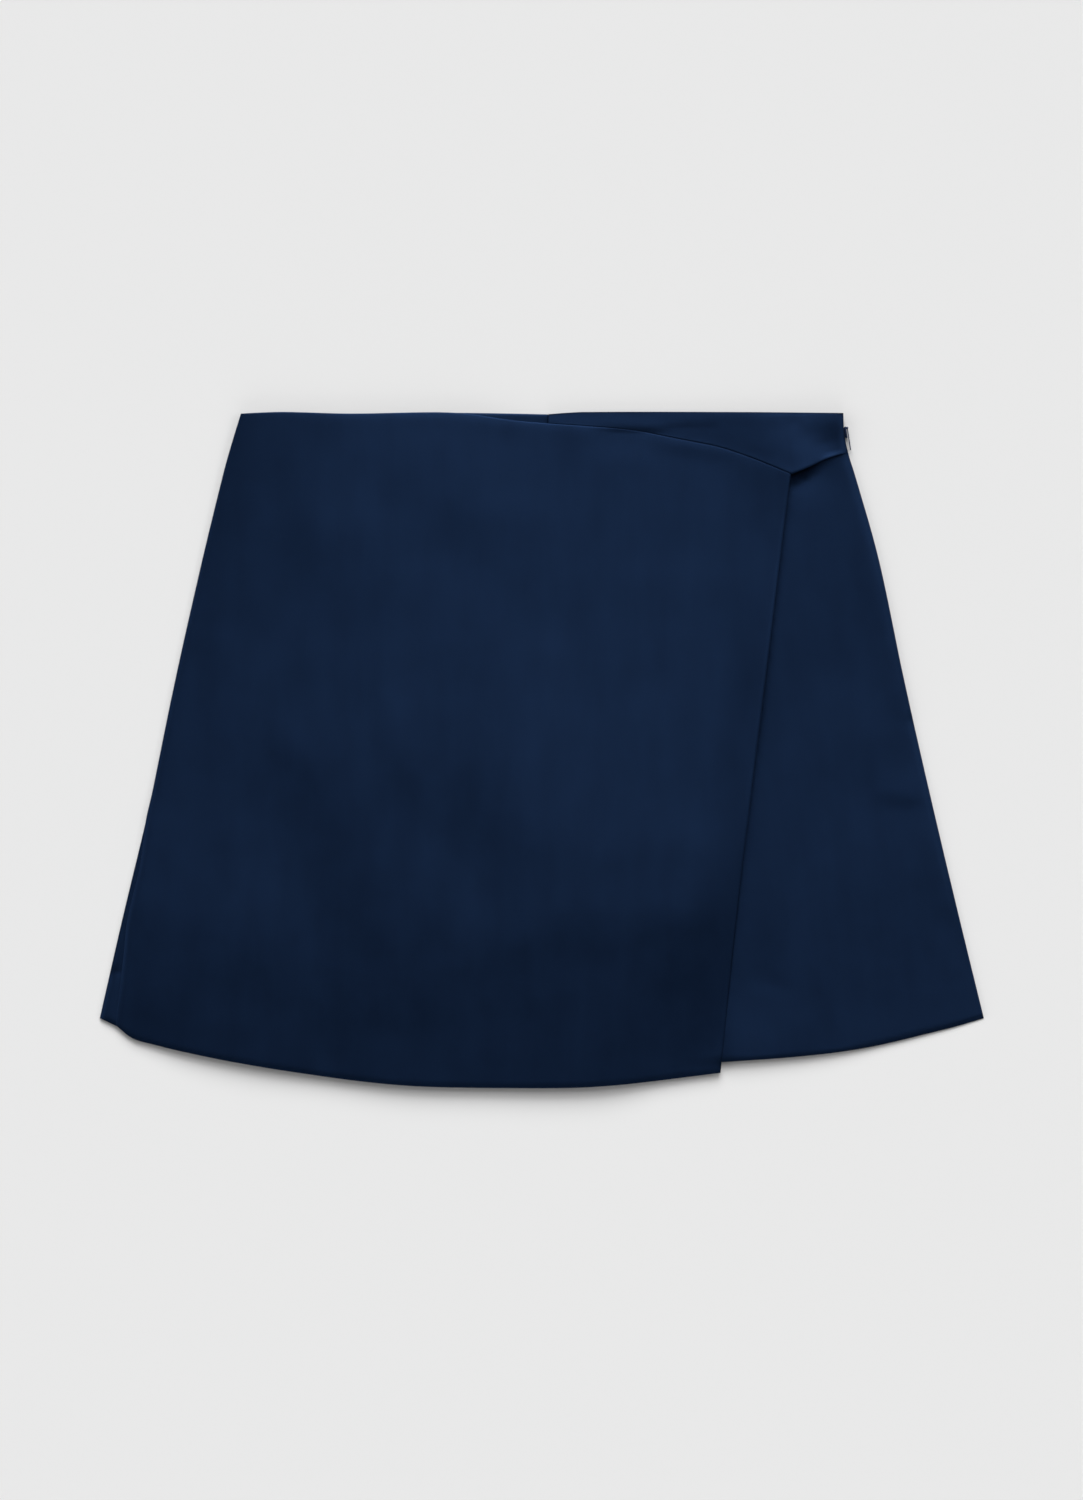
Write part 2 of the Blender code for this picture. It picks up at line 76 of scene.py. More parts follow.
Array = np.ndarray
Height = Callable[[Array, Array], Array]
Piece = bpy.types.Object
Socket = bpy.types.NodeSocket
Pair = tuple[float, float]
Triple = tuple[float, float, float]

MM = 0.001
GARMENT = "garment"
PULL = "zip_pull"
CLOTH_MAP = "cloth"
# The point attribute that carries painted shade: where it is 1 the cloth is painted black and gives back
# no light.
SHADE = "shade"
DOWN = Vector((0.0, 0.0, -1.0))
OVERHEAD = 0.05  # metres, above everything

# Heights of the cloth's coarse and fine unevenness.
COARSE_WAVE = 0.10
FINE_WAVE = 0.035

# The wrap's free edge: its X at the middle, and how it slopes with Y.
FREE_LINE = (132.1, 0.1214)


# --- Numbers and lines -------------------------------------------------------


def ramp(value: Array, low: float, high: float) -> Array:
    """Return a smooth rise from 0 at low to 1 at high, which may be below low."""
    part = np.clip((value - low) / (high - low), 0.0, 1.0)
    return part * part * (3.0 - 2.0 * part)


def mound(x: Array, y: Array, centre: Pair, reach: Pair) -> Array:
    """Return a round bump of height 1 about a centre, with its reach on X and Y."""
    return np.exp(-(((x - centre[0]) / reach[0]) ** 2) - ((y - centre[1]) / reach[1]) ** 2)


def rumple(x: Array, y: Array, size: float, seed: float) -> Array:
    """Make soft uneven waves.

    Args:
        x: Places across.
        y: Places up.
        size: The width of one wave.
        seed: Which waves of that width these are.

    Returns:
        Heights between about -1 and 1.
    """
    places = zip(x.ravel() / size, y.ravel() / size)
    heights = [noise.noise(Vector((across, up, seed))) for across, up in places]
    return np.array(heights).reshape(x.shape)


def waviness(x: Array, y: Array, coarse: Pair, fine: Pair) -> Array:
    """Return a panel's soft unevenness, from a coarse and a fine wave, each a width and a seed."""
    return COARSE_WAVE * rumple(x, y, *coarse) + FINE_WAVE * rumple(x, y, *fine)


class SmoothLine:
    """A smooth line through points, read by the fraction of its length."""

    CORNER = math.radians(25.0)

    def __init__(self, points: Sequence[Sequence[float]]) -> None:
        """Work out the line's tangents.

        Args:
            points: Points of the line, which has a corner where it turns sharply.
        """
        self.points = np.array(points, float)
        steps = np.diff(self.points, axis=0)
        self.spans = np.linalg.norm(steps, axis=1)
        self.reach = np.concatenate(([0.0], np.cumsum(self.spans)))
        heading = steps / self.spans[:, None]
        before = np.vstack((heading[:1], heading))
        after = np.vstack((heading, heading[-1:]))
        soft = ((before * after).sum(axis=1) > math.cos(self.CORNER))[:, None]
        middle = before + after
        middle /= np.linalg.norm(middle, axis=1)[:, None]
        self.leaving = np.where(soft, middle, after)
        self.arriving = np.where(soft, middle, before)

    @property
    def length(self) -> float:
        """Length of the line."""
        return float(self.reach[-1])

    def __call__(self, part: Array) -> Array:
        """Find points of the line.

        Args:
            part: Fractions of the line's length.

        Returns:
            The points there.
        """
        at = np.clip(np.asarray(part, float), 0.0, 1.0) * self.length
        index = np.searchsorted(self.reach, at, side="right") - 1
        index = np.clip(index, 0, len(self.spans) - 1)
        span = self.spans[index][..., None]
        t = (at - self.reach[index])[..., None] / span
        return (
            self.points[index] * (2.0 * t**3 - 3.0 * t**2 + 1.0)
            + self.leaving[index] * span * (t**3 - 2.0 * t**2 + t)
            + self.points[index + 1] * (3.0 * t**2 - 2.0 * t**3)
            + self.arriving[index + 1] * span * (t**3 - t**2)
        )

    def heading(self, part: Array) -> Array:
        """Find the line's directions.

        Args:
            part: Fractions of the line's length.

        Returns:
            The unit directions there.
        """
        step = 0.5 / self.length
        along = self(np.asarray(part) + step) - self(np.asarray(part) - step)
        return along / np.linalg.norm(along, axis=-1)[..., None]


@dataclass(frozen=True)
class Rise:
    """A height that changes smoothly along one line, from rows of (place, height)."""

    rows: tuple[Pair, ...]
    blend: float = 14.0

    def __call__(self, place: Array) -> Array:
        """Read the height, with the rows' corners rounded.

        Args:
            place: Places along the line.

        Returns:
            The height at each place.
        """
        ends, heights = np.array(self.rows).T
        total = np.zeros(np.shape(place))
        weights = 0.0
        for step in np.linspace(-1.5, 1.5, 13):
            weight = math.exp(-step * step)
            total = total + weight * np.interp(place + step * self.blend, ends, heights)
            weights += weight
        return total / weights


@dataclass(frozen=True)
class Fold:
    """A soft trough in cloth along a line, or a ridge where its depth is negative.

    The width is on the side to the left of the line's direction, and far_width
    on the other side, where it is flare times as wide at the line's end. The
    fold fades in and out over the shares of its length in fade.
    """

    line: tuple[Pair, ...]
    width: float
    depth: float
    far_width: float | None = None
    fade: Pair = (0.5, 0.5)
    flare: float = 1.0

    def dip(self, x: Array, y: Array) -> Array:
        """Depth of the fold at each place.

        Args:
            x: Places across.
            y: Places up.

        Returns:
            How far the cloth lies below its form.
        """
        path = SmoothLine(self.line)(np.linspace(0.0, 1.0, 8 * len(self.line) - 7))
        nearest = np.full(x.shape, np.inf)
        side = np.zeros(x.shape)
        for (ax, ay), (bx, by) in zip(path, path[1:]):
            span = math.hypot(bx - ax, by - ay)
            ux, uy = (bx - ax) / span, (by - ay) / span
            run = np.clip((x - ax) * ux + (y - ay) * uy, 0.0, span)
            gap = np.hypot(x - ax - run * ux, y - ay - run * uy)
            closer = gap < nearest
            nearest = np.where(closer, gap, nearest)
            side = np.where(closer, ux * (y - ay) - uy * (x - ax), side)
        (ax, ay), (bx, by) = path[0], path[-1]
        chord = (bx - ax) ** 2 + (by - ay) ** 2
        part = np.clip(((x - ax) * (bx - ax) + (y - ay) * (by - ay)) / chord, 0.0, 1.0)
        strength = ramp(part, 0.0, self.fade[0]) * ramp(part, 1.0, 1.0 - self.fade[1])
        flared = (self.far_width or self.width) * (1.0 + (self.flare - 1.0) * part)
        width = np.where(side > 0.0, self.width, flared)
        return self.depth * strength * np.exp(-((nearest / width) ** 2))


# --- Finishes ----------------------------------------------------------------


class Grain(Enum):
    """How a panel's warp lies on the garment, as an angle from the waist line."""

    STRAIGHT = 90.0
    LEFT_PANEL = 83.0
    RIGHT_PANEL = 97.0
    ALONG_BAND = 4.0


class Surface:
    """A Principled material that is being put together from nodes."""

    def __init__(self, name: str) -> None:
        """Start a material.

        Args:
            name: The material's name.
        """
        self.material = bpy.data.materials.new(name)
        self.material.use_nodes = True
        self.tree = self.material.node_tree
        self.shader = self.tree.nodes["Principled BSDF"]

    def constant(self, **values: float | tuple[float, ...]) -> None:
        """Set sockets of the shader, named with _ for a space."""
        for name, value in values.items():
            self.shader.inputs[name.replace("_", " ")].default_value = value

    def node(self, kind: str, **values: object) -> bpy.types.Node:
        """Add a node.

        Args:
            kind: The node's type, without its ShaderNode prefix.
            values: Its inputs by name, with _ for a space, or its settings in lower case.

        Returns:
            The node.
        """
        made = self.tree.nodes.new("ShaderNode" + kind)
        for name, value in values.items():
            title = name.replace("_", " ")
            if title in made.inputs:
                made.inputs[title].default_value = value
            else:
                setattr(made, name, value)
        return made

    def link(self, start: Socket, end: Socket) -> None:
        """Join two sockets."""
        self.tree.links.new(start, end)

    def noise(self, place: Socket, scale: float, detail: float, rough: float = 0.5) -> Socket:
        """Add a noise.

        Args:
            place: The socket of the places.
            scale: Its scale.
            detail: How many finer layers it has.
            rough: How strong the finer layers are.

        Returns:
            The noise's socket.
        """
        made = self.node("TexNoise", Scale=scale, Detail=detail, Roughness=rough)
        self.link(place, made.inputs["Vector"])
        return made.outputs["Fac"]

    def bands(self, place: Socket, direction: str, **values: float) -> Socket:
        """Add parallel bands.

        Args:
            place: The socket of the places.
            direction: The way in which the bands follow one another.
            values: Their inputs by name, with _ for a space.

        Returns:
            The bands' socket.
        """
        made = self.node("TexWave", bands_direction=direction, **values)
        self.link(place, made.inputs["Vector"])
        return made.outputs["Fac"]

    def give(self, **sockets: Socket) -> None:
        """Link sockets to the shader's inputs, named with _ for a space."""
        for name, socket in sockets.items():
            self.link(socket, self.shader.inputs[name.replace("_", " ")])

    def math(self, operation: str, *values: object) -> Socket:
        """Combine values.

        Args:
            operation: A Math node's operation.
            values: Its sockets or numbers, in order.

        Returns:
            The socket of the result.
        """
        made = self.node("Math", operation=operation)
        for index, value in enumerate(values):
            if isinstance(value, Socket):
                self.link(value, made.inputs[index])
            else:
                made.inputs[index].default_value = value
        return made.outputs[0]

    def blend(self, amount: Socket, low: object, high: object) -> Socket:
        """Mix two colours.

        Args:
            amount: The share of the second colour.
            low: The first colour, or its socket.
            high: The second colour, or its socket.

        Returns:
            The socket of the mixed colour.
        """
        made = self.node("Mix", data_type="RGBA")
        sockets = {socket.identifier: socket for socket in (*made.inputs, *made.outputs)}
        for name, value in (("A_Color", low), ("B_Color", high)):
            if isinstance(value, Socket):
                self.link(value, sockets[name])
            else:
                sockets[name].default_value = (*value, 1.0)
        self.link(amount, sockets["Factor_Float"])
        return sockets["Result_Color"]

    def bump(self, height: Socket, strength: float, distance: float) -> None:
        """Raise the surface by a height.

        Args:
            height: The socket of the height.
            strength: How strongly it shows.
            distance: The size of the height in metres.
        """
        made = self.node("Bump", Strength=strength, Distance=distance)
        self.link(height, made.inputs["Height"])
        self.link(made.outputs["Normal"], self.shader.inputs["Normal"])


@dataclass(frozen=True)
class CrepeFinish:
    """Navy crepe: a fine weave with a pebbled yarn and a soft face.

    The dyed filament gives back light in its own colour, so most of the face's gloss is coloured.
    Painted shade is read from a point attribute. It paints the cloth darker in creases, seams, along
    edges and in the shadows under the tab and beside the free edge, and where it is 1 the cloth is
    painted black and gives back no light.
    """

    name: str
    grain: Grain
    deep: Triple = (0.0065, 0.0163, 0.0439)
    light: Triple = (0.0090, 0.0225, 0.0605)
    edge_tint: Triple = (0.34, 0.38, 0.48)
    filament: float = 0.86
    gloss: float = 0.15
    roughness: float = 0.39
    sheen: float = 0.02
    pitch: float = 0.00052
    slub: float = 0.48

    def material(self) -> bpy.types.Material:
        """Make the crepe from its weave, pebble, slub and soft mottling, with painted shade where its
        shade attribute says.

        Returns:
            The material.
        """
        surface = Surface(self.name)
        surface.constant(
            Roughness=self.roughness,
            Specular_IOR_Level=self.gloss,
            Specular_Tint=(*self.edge_tint, 1.0),
            Sheen_Weight=self.sheen,
            Sheen_Roughness=0.45,
            Sheen_Tint=(0.45, 0.6, 1.0, 1.0),
        )
        cloth = surface.node("UVMap", uv_map=CLOTH_MAP)
        turned = surface.node("Mapping", Rotation=(0.0, 0.0, math.radians(self.grain.value)))
        surface.link(cloth.outputs["UV"], turned.inputs["Vector"])
        place = turned.outputs["Vector"]

        bands = 0.1 * math.pi / self.pitch
        yarns = [
            surface.bands(
                place, direction, Scale=bands, Distortion=wobble,
                Detail=1.5, Detail_Scale=0.6, Detail_Roughness=0.6,
            )
            for direction, wobble in (("X", 2.6), ("Y", 3.2))
        ]
        weave = surface.math("MULTIPLY", *yarns)
        pebble = surface.noise(place, 1500.0, 3.0, 0.6)
        mottle = surface.noise(place, 38.0, 5.0, 0.62)
        warp = surface.node("Mapping", Scale=(0.2, 1.0, 1.0))
        surface.link(place, warp.inputs["Vector"])
        slub = surface.noise(warp.outputs["Vector"], 62.0, 2.0)
        relief = surface.math("ADD", weave, surface.math("MULTIPLY", pebble, 0.9))

        # Lighter where the weave and pebble stand up: partly the weave's own pattern, partly a painted
        # highlight on the yarns.
        tone = surface.math("MULTIPLY", relief, 0.35)
        tone = surface.math("ADD", tone, surface.math("MULTIPLY", mottle, 0.55))
        streaks = surface.math("MULTIPLY_ADD", slub, 2.0 * self.slub, -self.slub)
        tone = surface.math("ADD", tone, streaks)
        # Painted shade: the attribute darkens the colour towards black and, through Metallic with a
        # black colour, takes away the gloss too.
        painted_shade = surface.node("Attribute", attribute_name=SHADE).outputs["Fac"]
        colour = surface.blend(painted_shade, surface.blend(tone, self.deep, self.light), (0.0, 0.0, 0.0))
        surface.give(
            Base_Color=colour,
            Metallic=surface.math("MULTIPLY_ADD", painted_shade, 1.0 - self.filament, self.filament),
            Roughness=surface.math("MULTIPLY_ADD", mottle, 0.10, self.roughness - 0.05),
        )
        surface.bump(relief, 0.24, 0.00008)
        return surface.material


@dataclass(frozen=True)
class TapeFinish:
    """Navy zip tape, woven in a fine herringbone along the seam."""

    name: str = "zip_tape_weave"
    colour: Triple = (0.0050, 0.0095, 0.0260)
    light: Triple = (0.0085, 0.0150, 0.0390)

    def material(self) -> bpy.types.Material:
        """Make the tape, with its ribs read from Object coordinates.

        Returns:
            The material.
        """
        surface = Surface(self.name)
        surface.constant(Roughness=0.8, Specular_IOR_Level=0.3, Sheen_Weight=0.08)
        place = surface.node("TexCoord").outputs["Object"]
        ribs = surface.bands(place, "DIAGONAL", Scale=420.0, Distortion=1.0)
        fuzz = surface.noise(place, 1400.0, 3.0)
        relief = surface.math("ADD", ribs, surface.math("MULTIPLY", fuzz, 0.5))
        tone = surface.math("MULTIPLY", relief, 0.6)
        surface.give(Base_Color=surface.blend(tone, self.colour, self.light))
        surface.bump(relief, 0.4, 0.0001)
        return surface.material


@dataclass(frozen=True)
class LacquerFinish:
    """Satin navy lacquer on die-cast metal, a little worn."""

    name: str = "zip_lacquer"
    colour: Triple = (0.0085, 0.0150, 0.0360)
    worn: Triple = (0.0260, 0.0340, 0.0560)
    gloss_tint: Triple = (0.30, 0.45, 1.0)
    roughness: float = 0.46

    def material(self) -> bpy.types.Material:
        """Make the lacquer, with faint wear and an uneven gloss.

        Returns:
            The material.
        """
        surface = Surface(self.name)
        surface.constant(
            Specular_IOR_Level=0.45, Specular_Tint=(*self.gloss_tint, 1.0),
            Coat_Weight=0.08, Coat_Roughness=0.3,
        )
        wear = surface.noise(surface.node("TexCoord").outputs["Object"], 900.0, 4.0, 0.7)
        spots = surface.node("ValToRGB")
        spots.color_ramp.elements[0].position = 0.52
        spots.color_ramp.elements[1].position = 0.72
        surface.link(wear, spots.inputs["Fac"])
        surface.give(
            Base_Color=surface.blend(spots.outputs["Color"], self.colour, self.worn),
            Roughness=surface.math("MULTIPLY_ADD", wear, 0.16, self.roughness - 0.08),
        )
        surface.bump(wear, 0.15, 0.00003)
        return surface.material


@dataclass(frozen=True)
class ThreadFinish:
    """Twisted polyester sewing thread with a soft gloss."""

    name: str = "seam_thread"
    colour: Triple = (0.0030, 0.0070, 0.0200)
    light: Triple = (0.0060, 0.0130, 0.0360)
    gloss_tint: Triple = (0.2, 0.4, 1.0)

    def material(self) -> bpy.types.Material:
        """Make the thread, with its twist as fine bands.

        Returns:
            The material.
        """
        surface = Surface(self.name)
        surface.constant(Roughness=0.5, Specular_IOR_Level=0.4, Specular_Tint=(*self.gloss_tint, 1.0))
        place = surface.node("TexCoord").outputs["Object"]
        twist = surface.bands(place, "DIAGONAL", Scale=1500.0, Distortion=0.5)
        surface.give(Base_Color=surface.blend(twist, self.colour, self.light))
        surface.bump(twist, 0.4, 0.00004)
        return surface.material


@dataclass(frozen=True)
class FloorFinish:
    """Smooth pale studio surface."""

    name: str = "pale_floor"
    colour: Triple = (0.795, 0.795, 0.795)

    def material(self) -> bpy.types.Material:
        """Make the floor, with the faintest unevenness.

        Returns:
            The material.
        """
        surface = Surface(self.name)
        surface.constant(Roughness=0.95, Specular_IOR_Level=0.0)
        cloud = surface.noise(surface.node("TexCoord").outputs["Object"], 3.0, 2.0)
        lighter = tuple(value * 1.006 for value in self.colour)
        surface.give(Base_Color=surface.blend(cloud, self.colour, lighter))
        return surface.material


# --- Cloth -------------------------------------------------------------------


class CadSurface:
    """The upper surface of a CAD solid: its outline and its height."""

    MERGE = 0.00001
    UPWARD = 0.3
    NEAREST_FROM = 0.008

    def __init__(self, node: str) -> None:
        """Keep the faces of a CAD solid that look up.

        Args:
            node: The solid's node.
        """
        self.node = node
        bm = bmesh.new()
        bm.from_mesh(frame["nodes"][node].data)
        bmesh.ops.remove_doubles(bm, verts=bm.verts, dist=self.MERGE)
        under = [face for face in bm.faces if face.normal.z < self.UPWARD]
        bmesh.ops.delete(bm, geom=under, context="FACES")
        self.tree = BVHTree.FromBMesh(bm)
        self.outline = self._walk(bm)
        bm.free()

    @staticmethod
    def _walk(bm: bmesh.types.BMesh) -> Array:
        """Walk round the outline.

        Args:
            bm: Faces whose open edges are the outline.

        Returns:
            The outline's points in millimetres, anticlockwise from above.
        """
        rim = [edge for edge in bm.edges if edge.is_boundary]
        beside: dict[bmesh.types.BMVert, list[bmesh.types.BMVert]] = {}
        for edge in rim:
            first, second = edge.verts
            beside.setdefault(first, []).append(second)
            beside.setdefault(second, []).append(first)
        start = rim[0].verts[0]
        walked = [start]
        before, here = start, beside[start][0]
        while here is not start:
            walked.append(here)
            ahead = [vert for vert in beside[here] if vert is not before]
            before, here = here, ahead[0]
        points = np.array([vert.co[:2] for vert in walked]) / MM
        after = np.roll(points, -1, axis=0)
        turning = (points[:, 0] * after[:, 1] - after[:, 0] * points[:, 1]).sum()
        return points if turning > 0.0 else points[::-1]

    def edges(self, corners: "Corners") -> tuple[SmoothLine, SmoothLine, SmoothLine, SmoothLine]:
        """Split the outline at its corners.

        Args:
            corners: The directions in which the corners lie.

        Returns:
            The top and bottom edges from left to right, and the left and
            right edges from top to bottom.
        """
        marks = [int(np.argmax(self.outline @ np.array(way))) for way in corners.ways()]
        runs = []
        for start, end in zip(marks, marks[1:] + marks[:1]):
            count = (end - start) % len(self.outline) + 1
            indices = (start + np.arange(count)) % len(self.outline)
            runs.append(self.outline[indices])
        left, bottom, right, top = runs
        return SmoothLine(top[::-1]), SmoothLine(bottom), SmoothLine(left), SmoothLine(right[::-1])

    def height(self, x: Array, y: Array) -> Array:
        """Read the surface's height.

        Args:
            x: Places across.
            y: Places up.

        Returns:
            The height at each place, or that of the nearest point for a place outside the outline.
        """
        heights = []
        for across, up in zip(x.ravel() * MM, y.ravel() * MM):
            hit = self.tree.ray_cast(Vector((across, up, OVERHEAD)), DOWN)[0]
            if hit is None:
                hit = self.tree.find_nearest(Vector((across, up, self.NEAREST_FROM)))[0]
            heights.append(hit.z)
        return np.array(heights).reshape(x.shape) / MM


@dataclass(frozen=True)
class Corners:
    """Directions in which a panel's corners lie from its middle."""

    top_left: Pair = (-1.0, 1.0)
    bottom_left: Pair = (-1.0, -1.0)
    bottom_right: Pair = (1.0, -1.0)
    top_right: Pair = (1.0, 1.0)

    def ways(self) -> tuple[Pair, ...]:
        """Return the directions, anticlockwise from the top left."""
        return (self.top_left, self.bottom_left, self.bottom_right, self.top_right)


@dataclass(frozen=True)
class Rim:
    """How the cloth turns down at an edge: how far in, how deep, how uneven, and how much shade is
    painted along it.
    """

    reach: float
    drop: float
    waver: float = 0.0
    # Painted shade along the edge, strongest on the edge itself.
    dark: float = 0.0


class Rims(Enum):
    """The edges that the garment has."""

    # The dark values paint shade along hems, free edges and top edges.
    SEAMED = Rim(reach=0.8, drop=0.02)
    SIDE_SEAM = Rim(reach=4.5, drop=1.2, waver=0.08)
    ROLLED = Rim(reach=4.5, drop=0.6, waver=0.06)
    TURNED_HEM = Rim(reach=3.2, drop=0.5, waver=0.12, dark=0.25)
    FREE_EDGE = Rim(reach=2.4, drop=0.35, waver=0.10, dark=0.45)
    TOP_EDGE = Rim(reach=1.4, drop=0.08, waver=0.04, dark=0.8)
    PLAIN = Rim(reach=1.5, drop=0.12)


@dataclass
class ClothPanel:
    """One cut piece of cloth, as a thin shell with turned edges."""

    AIR = 0.08
    LEAST = 0.35
    EASE = 0.25
    # How far in from an edge its painted shade reaches.
    SHADED = 0.8
    ROUNDED = 0.36
    WAVER_SIZE = 34.0
    WAVER_REACH = 12.0
    WAVER_SEED = 5.0

    node: str
    slot: str
    finish: "CrepeFinish | TapeFinish"
    relief: Height
    top: Rims
    bottom: Rims
    left: Rims
    right: Rims
    corners: Corners = field(default_factory=Corners)
    cell: float = 2.6
    thickness: float = 1.1
    blur: float = 7.0
    seed: float = 0.0
    rests_on: tuple[Piece, ...] = ()
    # Painted shade over the panel, for its seams, creases and cast shadows.
    shade: Height | None = None
    grow: float = 0.155
    flat: Pair | None = None
    close_rows: tuple[float, ...] = (0.0, 0.8, 1.7, 2.9, 4.6)

    def __post_init__(self) -> None:
        """Read the panel's outline from its CAD solid."""
        self.solid = CadSurface(self.node)
        self.edges = self.solid.edges(self.corners)

    def fractions(self, length: float) -> Array:
        """Space a grid's rows along a length.

        Args:
            length: The length.

        Returns:
            Fractions of the length: close rows at both ends, and even rows between.
        """
        close = np.array(self.close_rows)
        count = max(2, round((length - 2.0 * close[-1]) / self.cell))
        even = np.linspace(close[-1], length - close[-1], count + 1)
        rows = np.concatenate((close[:-1], even, length - close[-2::-1]))
        return rows / length

    def layout(self) -> tuple[Array, Array, Array, Array]:
        """Lay a grid over the outline.

        Returns:
            The grid's X and Y, rows from the top, and the fractions across
            and down.
        """
        top, bottom, left, right = self.edges
        across = self.fractions(0.5 * (top.length + bottom.length))
        down = self.fractions(0.5 * (left.length + right.length))
        u, v = across[None, :, None], down[:, None, None]
        ruled = (1.0 - v) * top(across)[None] + v * bottom(across)[None]
        ruled = ruled + (1.0 - u) * left(down)[:, None] + u * right(down)[:, None]
        upper = (1.0 - u) * top(0.0) + u * top(1.0)
        lower = (1.0 - u) * bottom(0.0) + u * bottom(1.0)
        spots = ruled - (1.0 - v) * upper - v * lower
        for rim, edge, inner in (
            (self.top, np.s_[0], np.s_[1]),
            (self.bottom, np.s_[-1], np.s_[-2]),
            (self.left, np.s_[:, 0], np.s_[:, 1]),
            (self.right, np.s_[:, -1], np.s_[:, -2]),
        ):
            if rim is Rims.SEAMED:
                out = spots[edge] - spots[inner]
                spots[edge] += self.grow * out / np.linalg.norm(out, axis=-1)[:, None]
        return spots[..., 0], spots[..., 1], across, down

    def soften(self, z: Array) -> Array:
        """Blur heights over the grid, so that the solid's facets don't show.

        Args:
            z: The heights.

        Returns:
            The blurred heights.
        """
        passes = max(1, round(2.0 * (self.blur / self.cell) ** 2))
        for _ in range(passes):
            for axis in (0, 1):
                grown = np.concatenate(
                    (
                        2.0 * np.take(z, [0], axis) - np.take(z, [1], axis),
                        z,
                        2.0 * np.take(z, [-1], axis) - np.take(z, [-2], axis),
                    ),
                    axis,
                )
                count = z.shape[axis]
                ahead = np.take(grown, range(2, count + 2), axis)
                behind = np.take(grown, range(0, count), axis)
                z = 0.5 * z + 0.25 * (ahead + behind)
        return z

    def rims(self, x: Array, y: Array, across: Array, down: Array) -> tuple[tuple[Rim, Array], ...]:
        """Measure how far the places are from each edge.

        Args:
            x: Places across.
            y: Places up.
            across: Their fractions across.
            down: Their fractions down.

        Returns:
            Each edge's rim, with the distance of every place from that edge.
        """
        width = np.hypot(x[:, -1] - x[:, 0], y[:, -1] - y[:, 0])[:, None]
        height = np.hypot(x[-1] - x[0], y[-1] - y[0])[None, :]
        return (
            (self.top.value, down[:, None] * height),
            (self.bottom.value, (1.0 - down[:, None]) * height),
            (self.left.value, across[None, :] * width),
            (self.right.value, (1.0 - across[None, :]) * width),
        )

    def turned(self, x: Array, y: Array, rims: tuple[tuple[Rim, Array], ...]) -> Array:
        """Turn the cloth down towards the panel's edges.

        Args:
            x: Places across.
            y: Places up.
            rims: Each edge's rim, with the distances from that edge.

        Returns:
            How far each place is turned down.
        """
        fall = np.zeros(x.shape)
        for rim, distance in rims:
            part = np.clip(1.0 - distance / rim.reach, 0.0, 1.0)
            fall = np.hypot(fall, rim.drop * part**2)
            if rim.waver:
                wave = rumple(x, y, self.WAVER_SIZE, self.seed + self.WAVER_SEED)
                wave = wave * np.exp(-((distance / self.WAVER_REACH) ** 2))
                fall = fall + rim.waver * wave
        return fall

    def shaded(self, x: Array, y: Array, rims: tuple[tuple[Rim, Array], ...]) -> Array:
        """Paint shade on the cloth in its creases and along its edges.

        Args:
            x: Places across.
            y: Places up.
            rims: Each edge's rim, with the distances from that edge.

        Returns:
            How much shade is painted at each place.
        """
        depth = np.zeros(x.shape) if self.shade is None else self.shade(x, y)
        for rim, distance in rims:
            depth = np.maximum(depth, rim.dark * np.exp(-((distance / self.SHADED) ** 2)))
        return depth

    def resting(self, x: Array, y: Array) -> Array:
        """Find what the cloth rests on.

        Args:
            x: Places across.
            y: Places up.

        Returns:
            The height of the cloth below each place or the places beside it, or the floor's.
        """
        height = np.zeros(x.shape)
        for piece in self.rests_on:
            tree = BVHTree.FromObject(piece, bpy.context.evaluated_depsgraph_get())
            for index, (across, up) in enumerate(zip(x.ravel() * MM, y.ravel() * MM)):
                hit = tree.ray_cast(Vector((across, up, OVERHEAD)), DOWN)[0]
                if hit is not None:
                    height.flat[index] = max(height.flat[index], hit.z / MM)
        beside = height.copy()
        beside[:, 1:] = np.maximum(beside[:, 1:], height[:, :-1])
        beside[:, :-1] = np.maximum(beside[:, :-1], height[:, 1:])
        return beside

    def build(self) -> Piece:
        """Returns:
            The finished object.
        """
        x, y, across, down = self.layout()
        rims = self.rims(x, y, across, down)
        z = self.soften(self.solid.height(x, y)) + self.relief(x, y) - self.turned(x, y, rims)
        under = z - self.thickness
        if self.rests_on:
            below = self.resting(x, y) + self.AIR
            least = below + self.LEAST
            z = least + np.logaddexp(0.0, (z - least) / self.EASE) * self.EASE
            under = np.minimum(np.maximum(z - self.thickness, below), z - self.LEAST)
        piece = self.shell(x, y, z, under, self.shaded(x, y, rims))
        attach(piece, GARMENT)
        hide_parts(self.node)
        low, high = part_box(self.node)
        return piece

    @staticmethod
    def area(x: Array, y: Array) -> float:
        """Measure a grid as seen from above.

        Args:
            x: Places across.
            y: Places up.

        Returns:
            Its area in square metres.
        """
        ax, ay = x[1:, 1:] - x[:-1, :-1], y[1:, 1:] - y[:-1, :-1]
        bx, by = x[1:, :-1] - x[:-1, 1:], y[1:, :-1] - y[:-1, 1:]
        return float(0.5 * np.abs(ax * by - ay * bx).sum()) * MM * MM

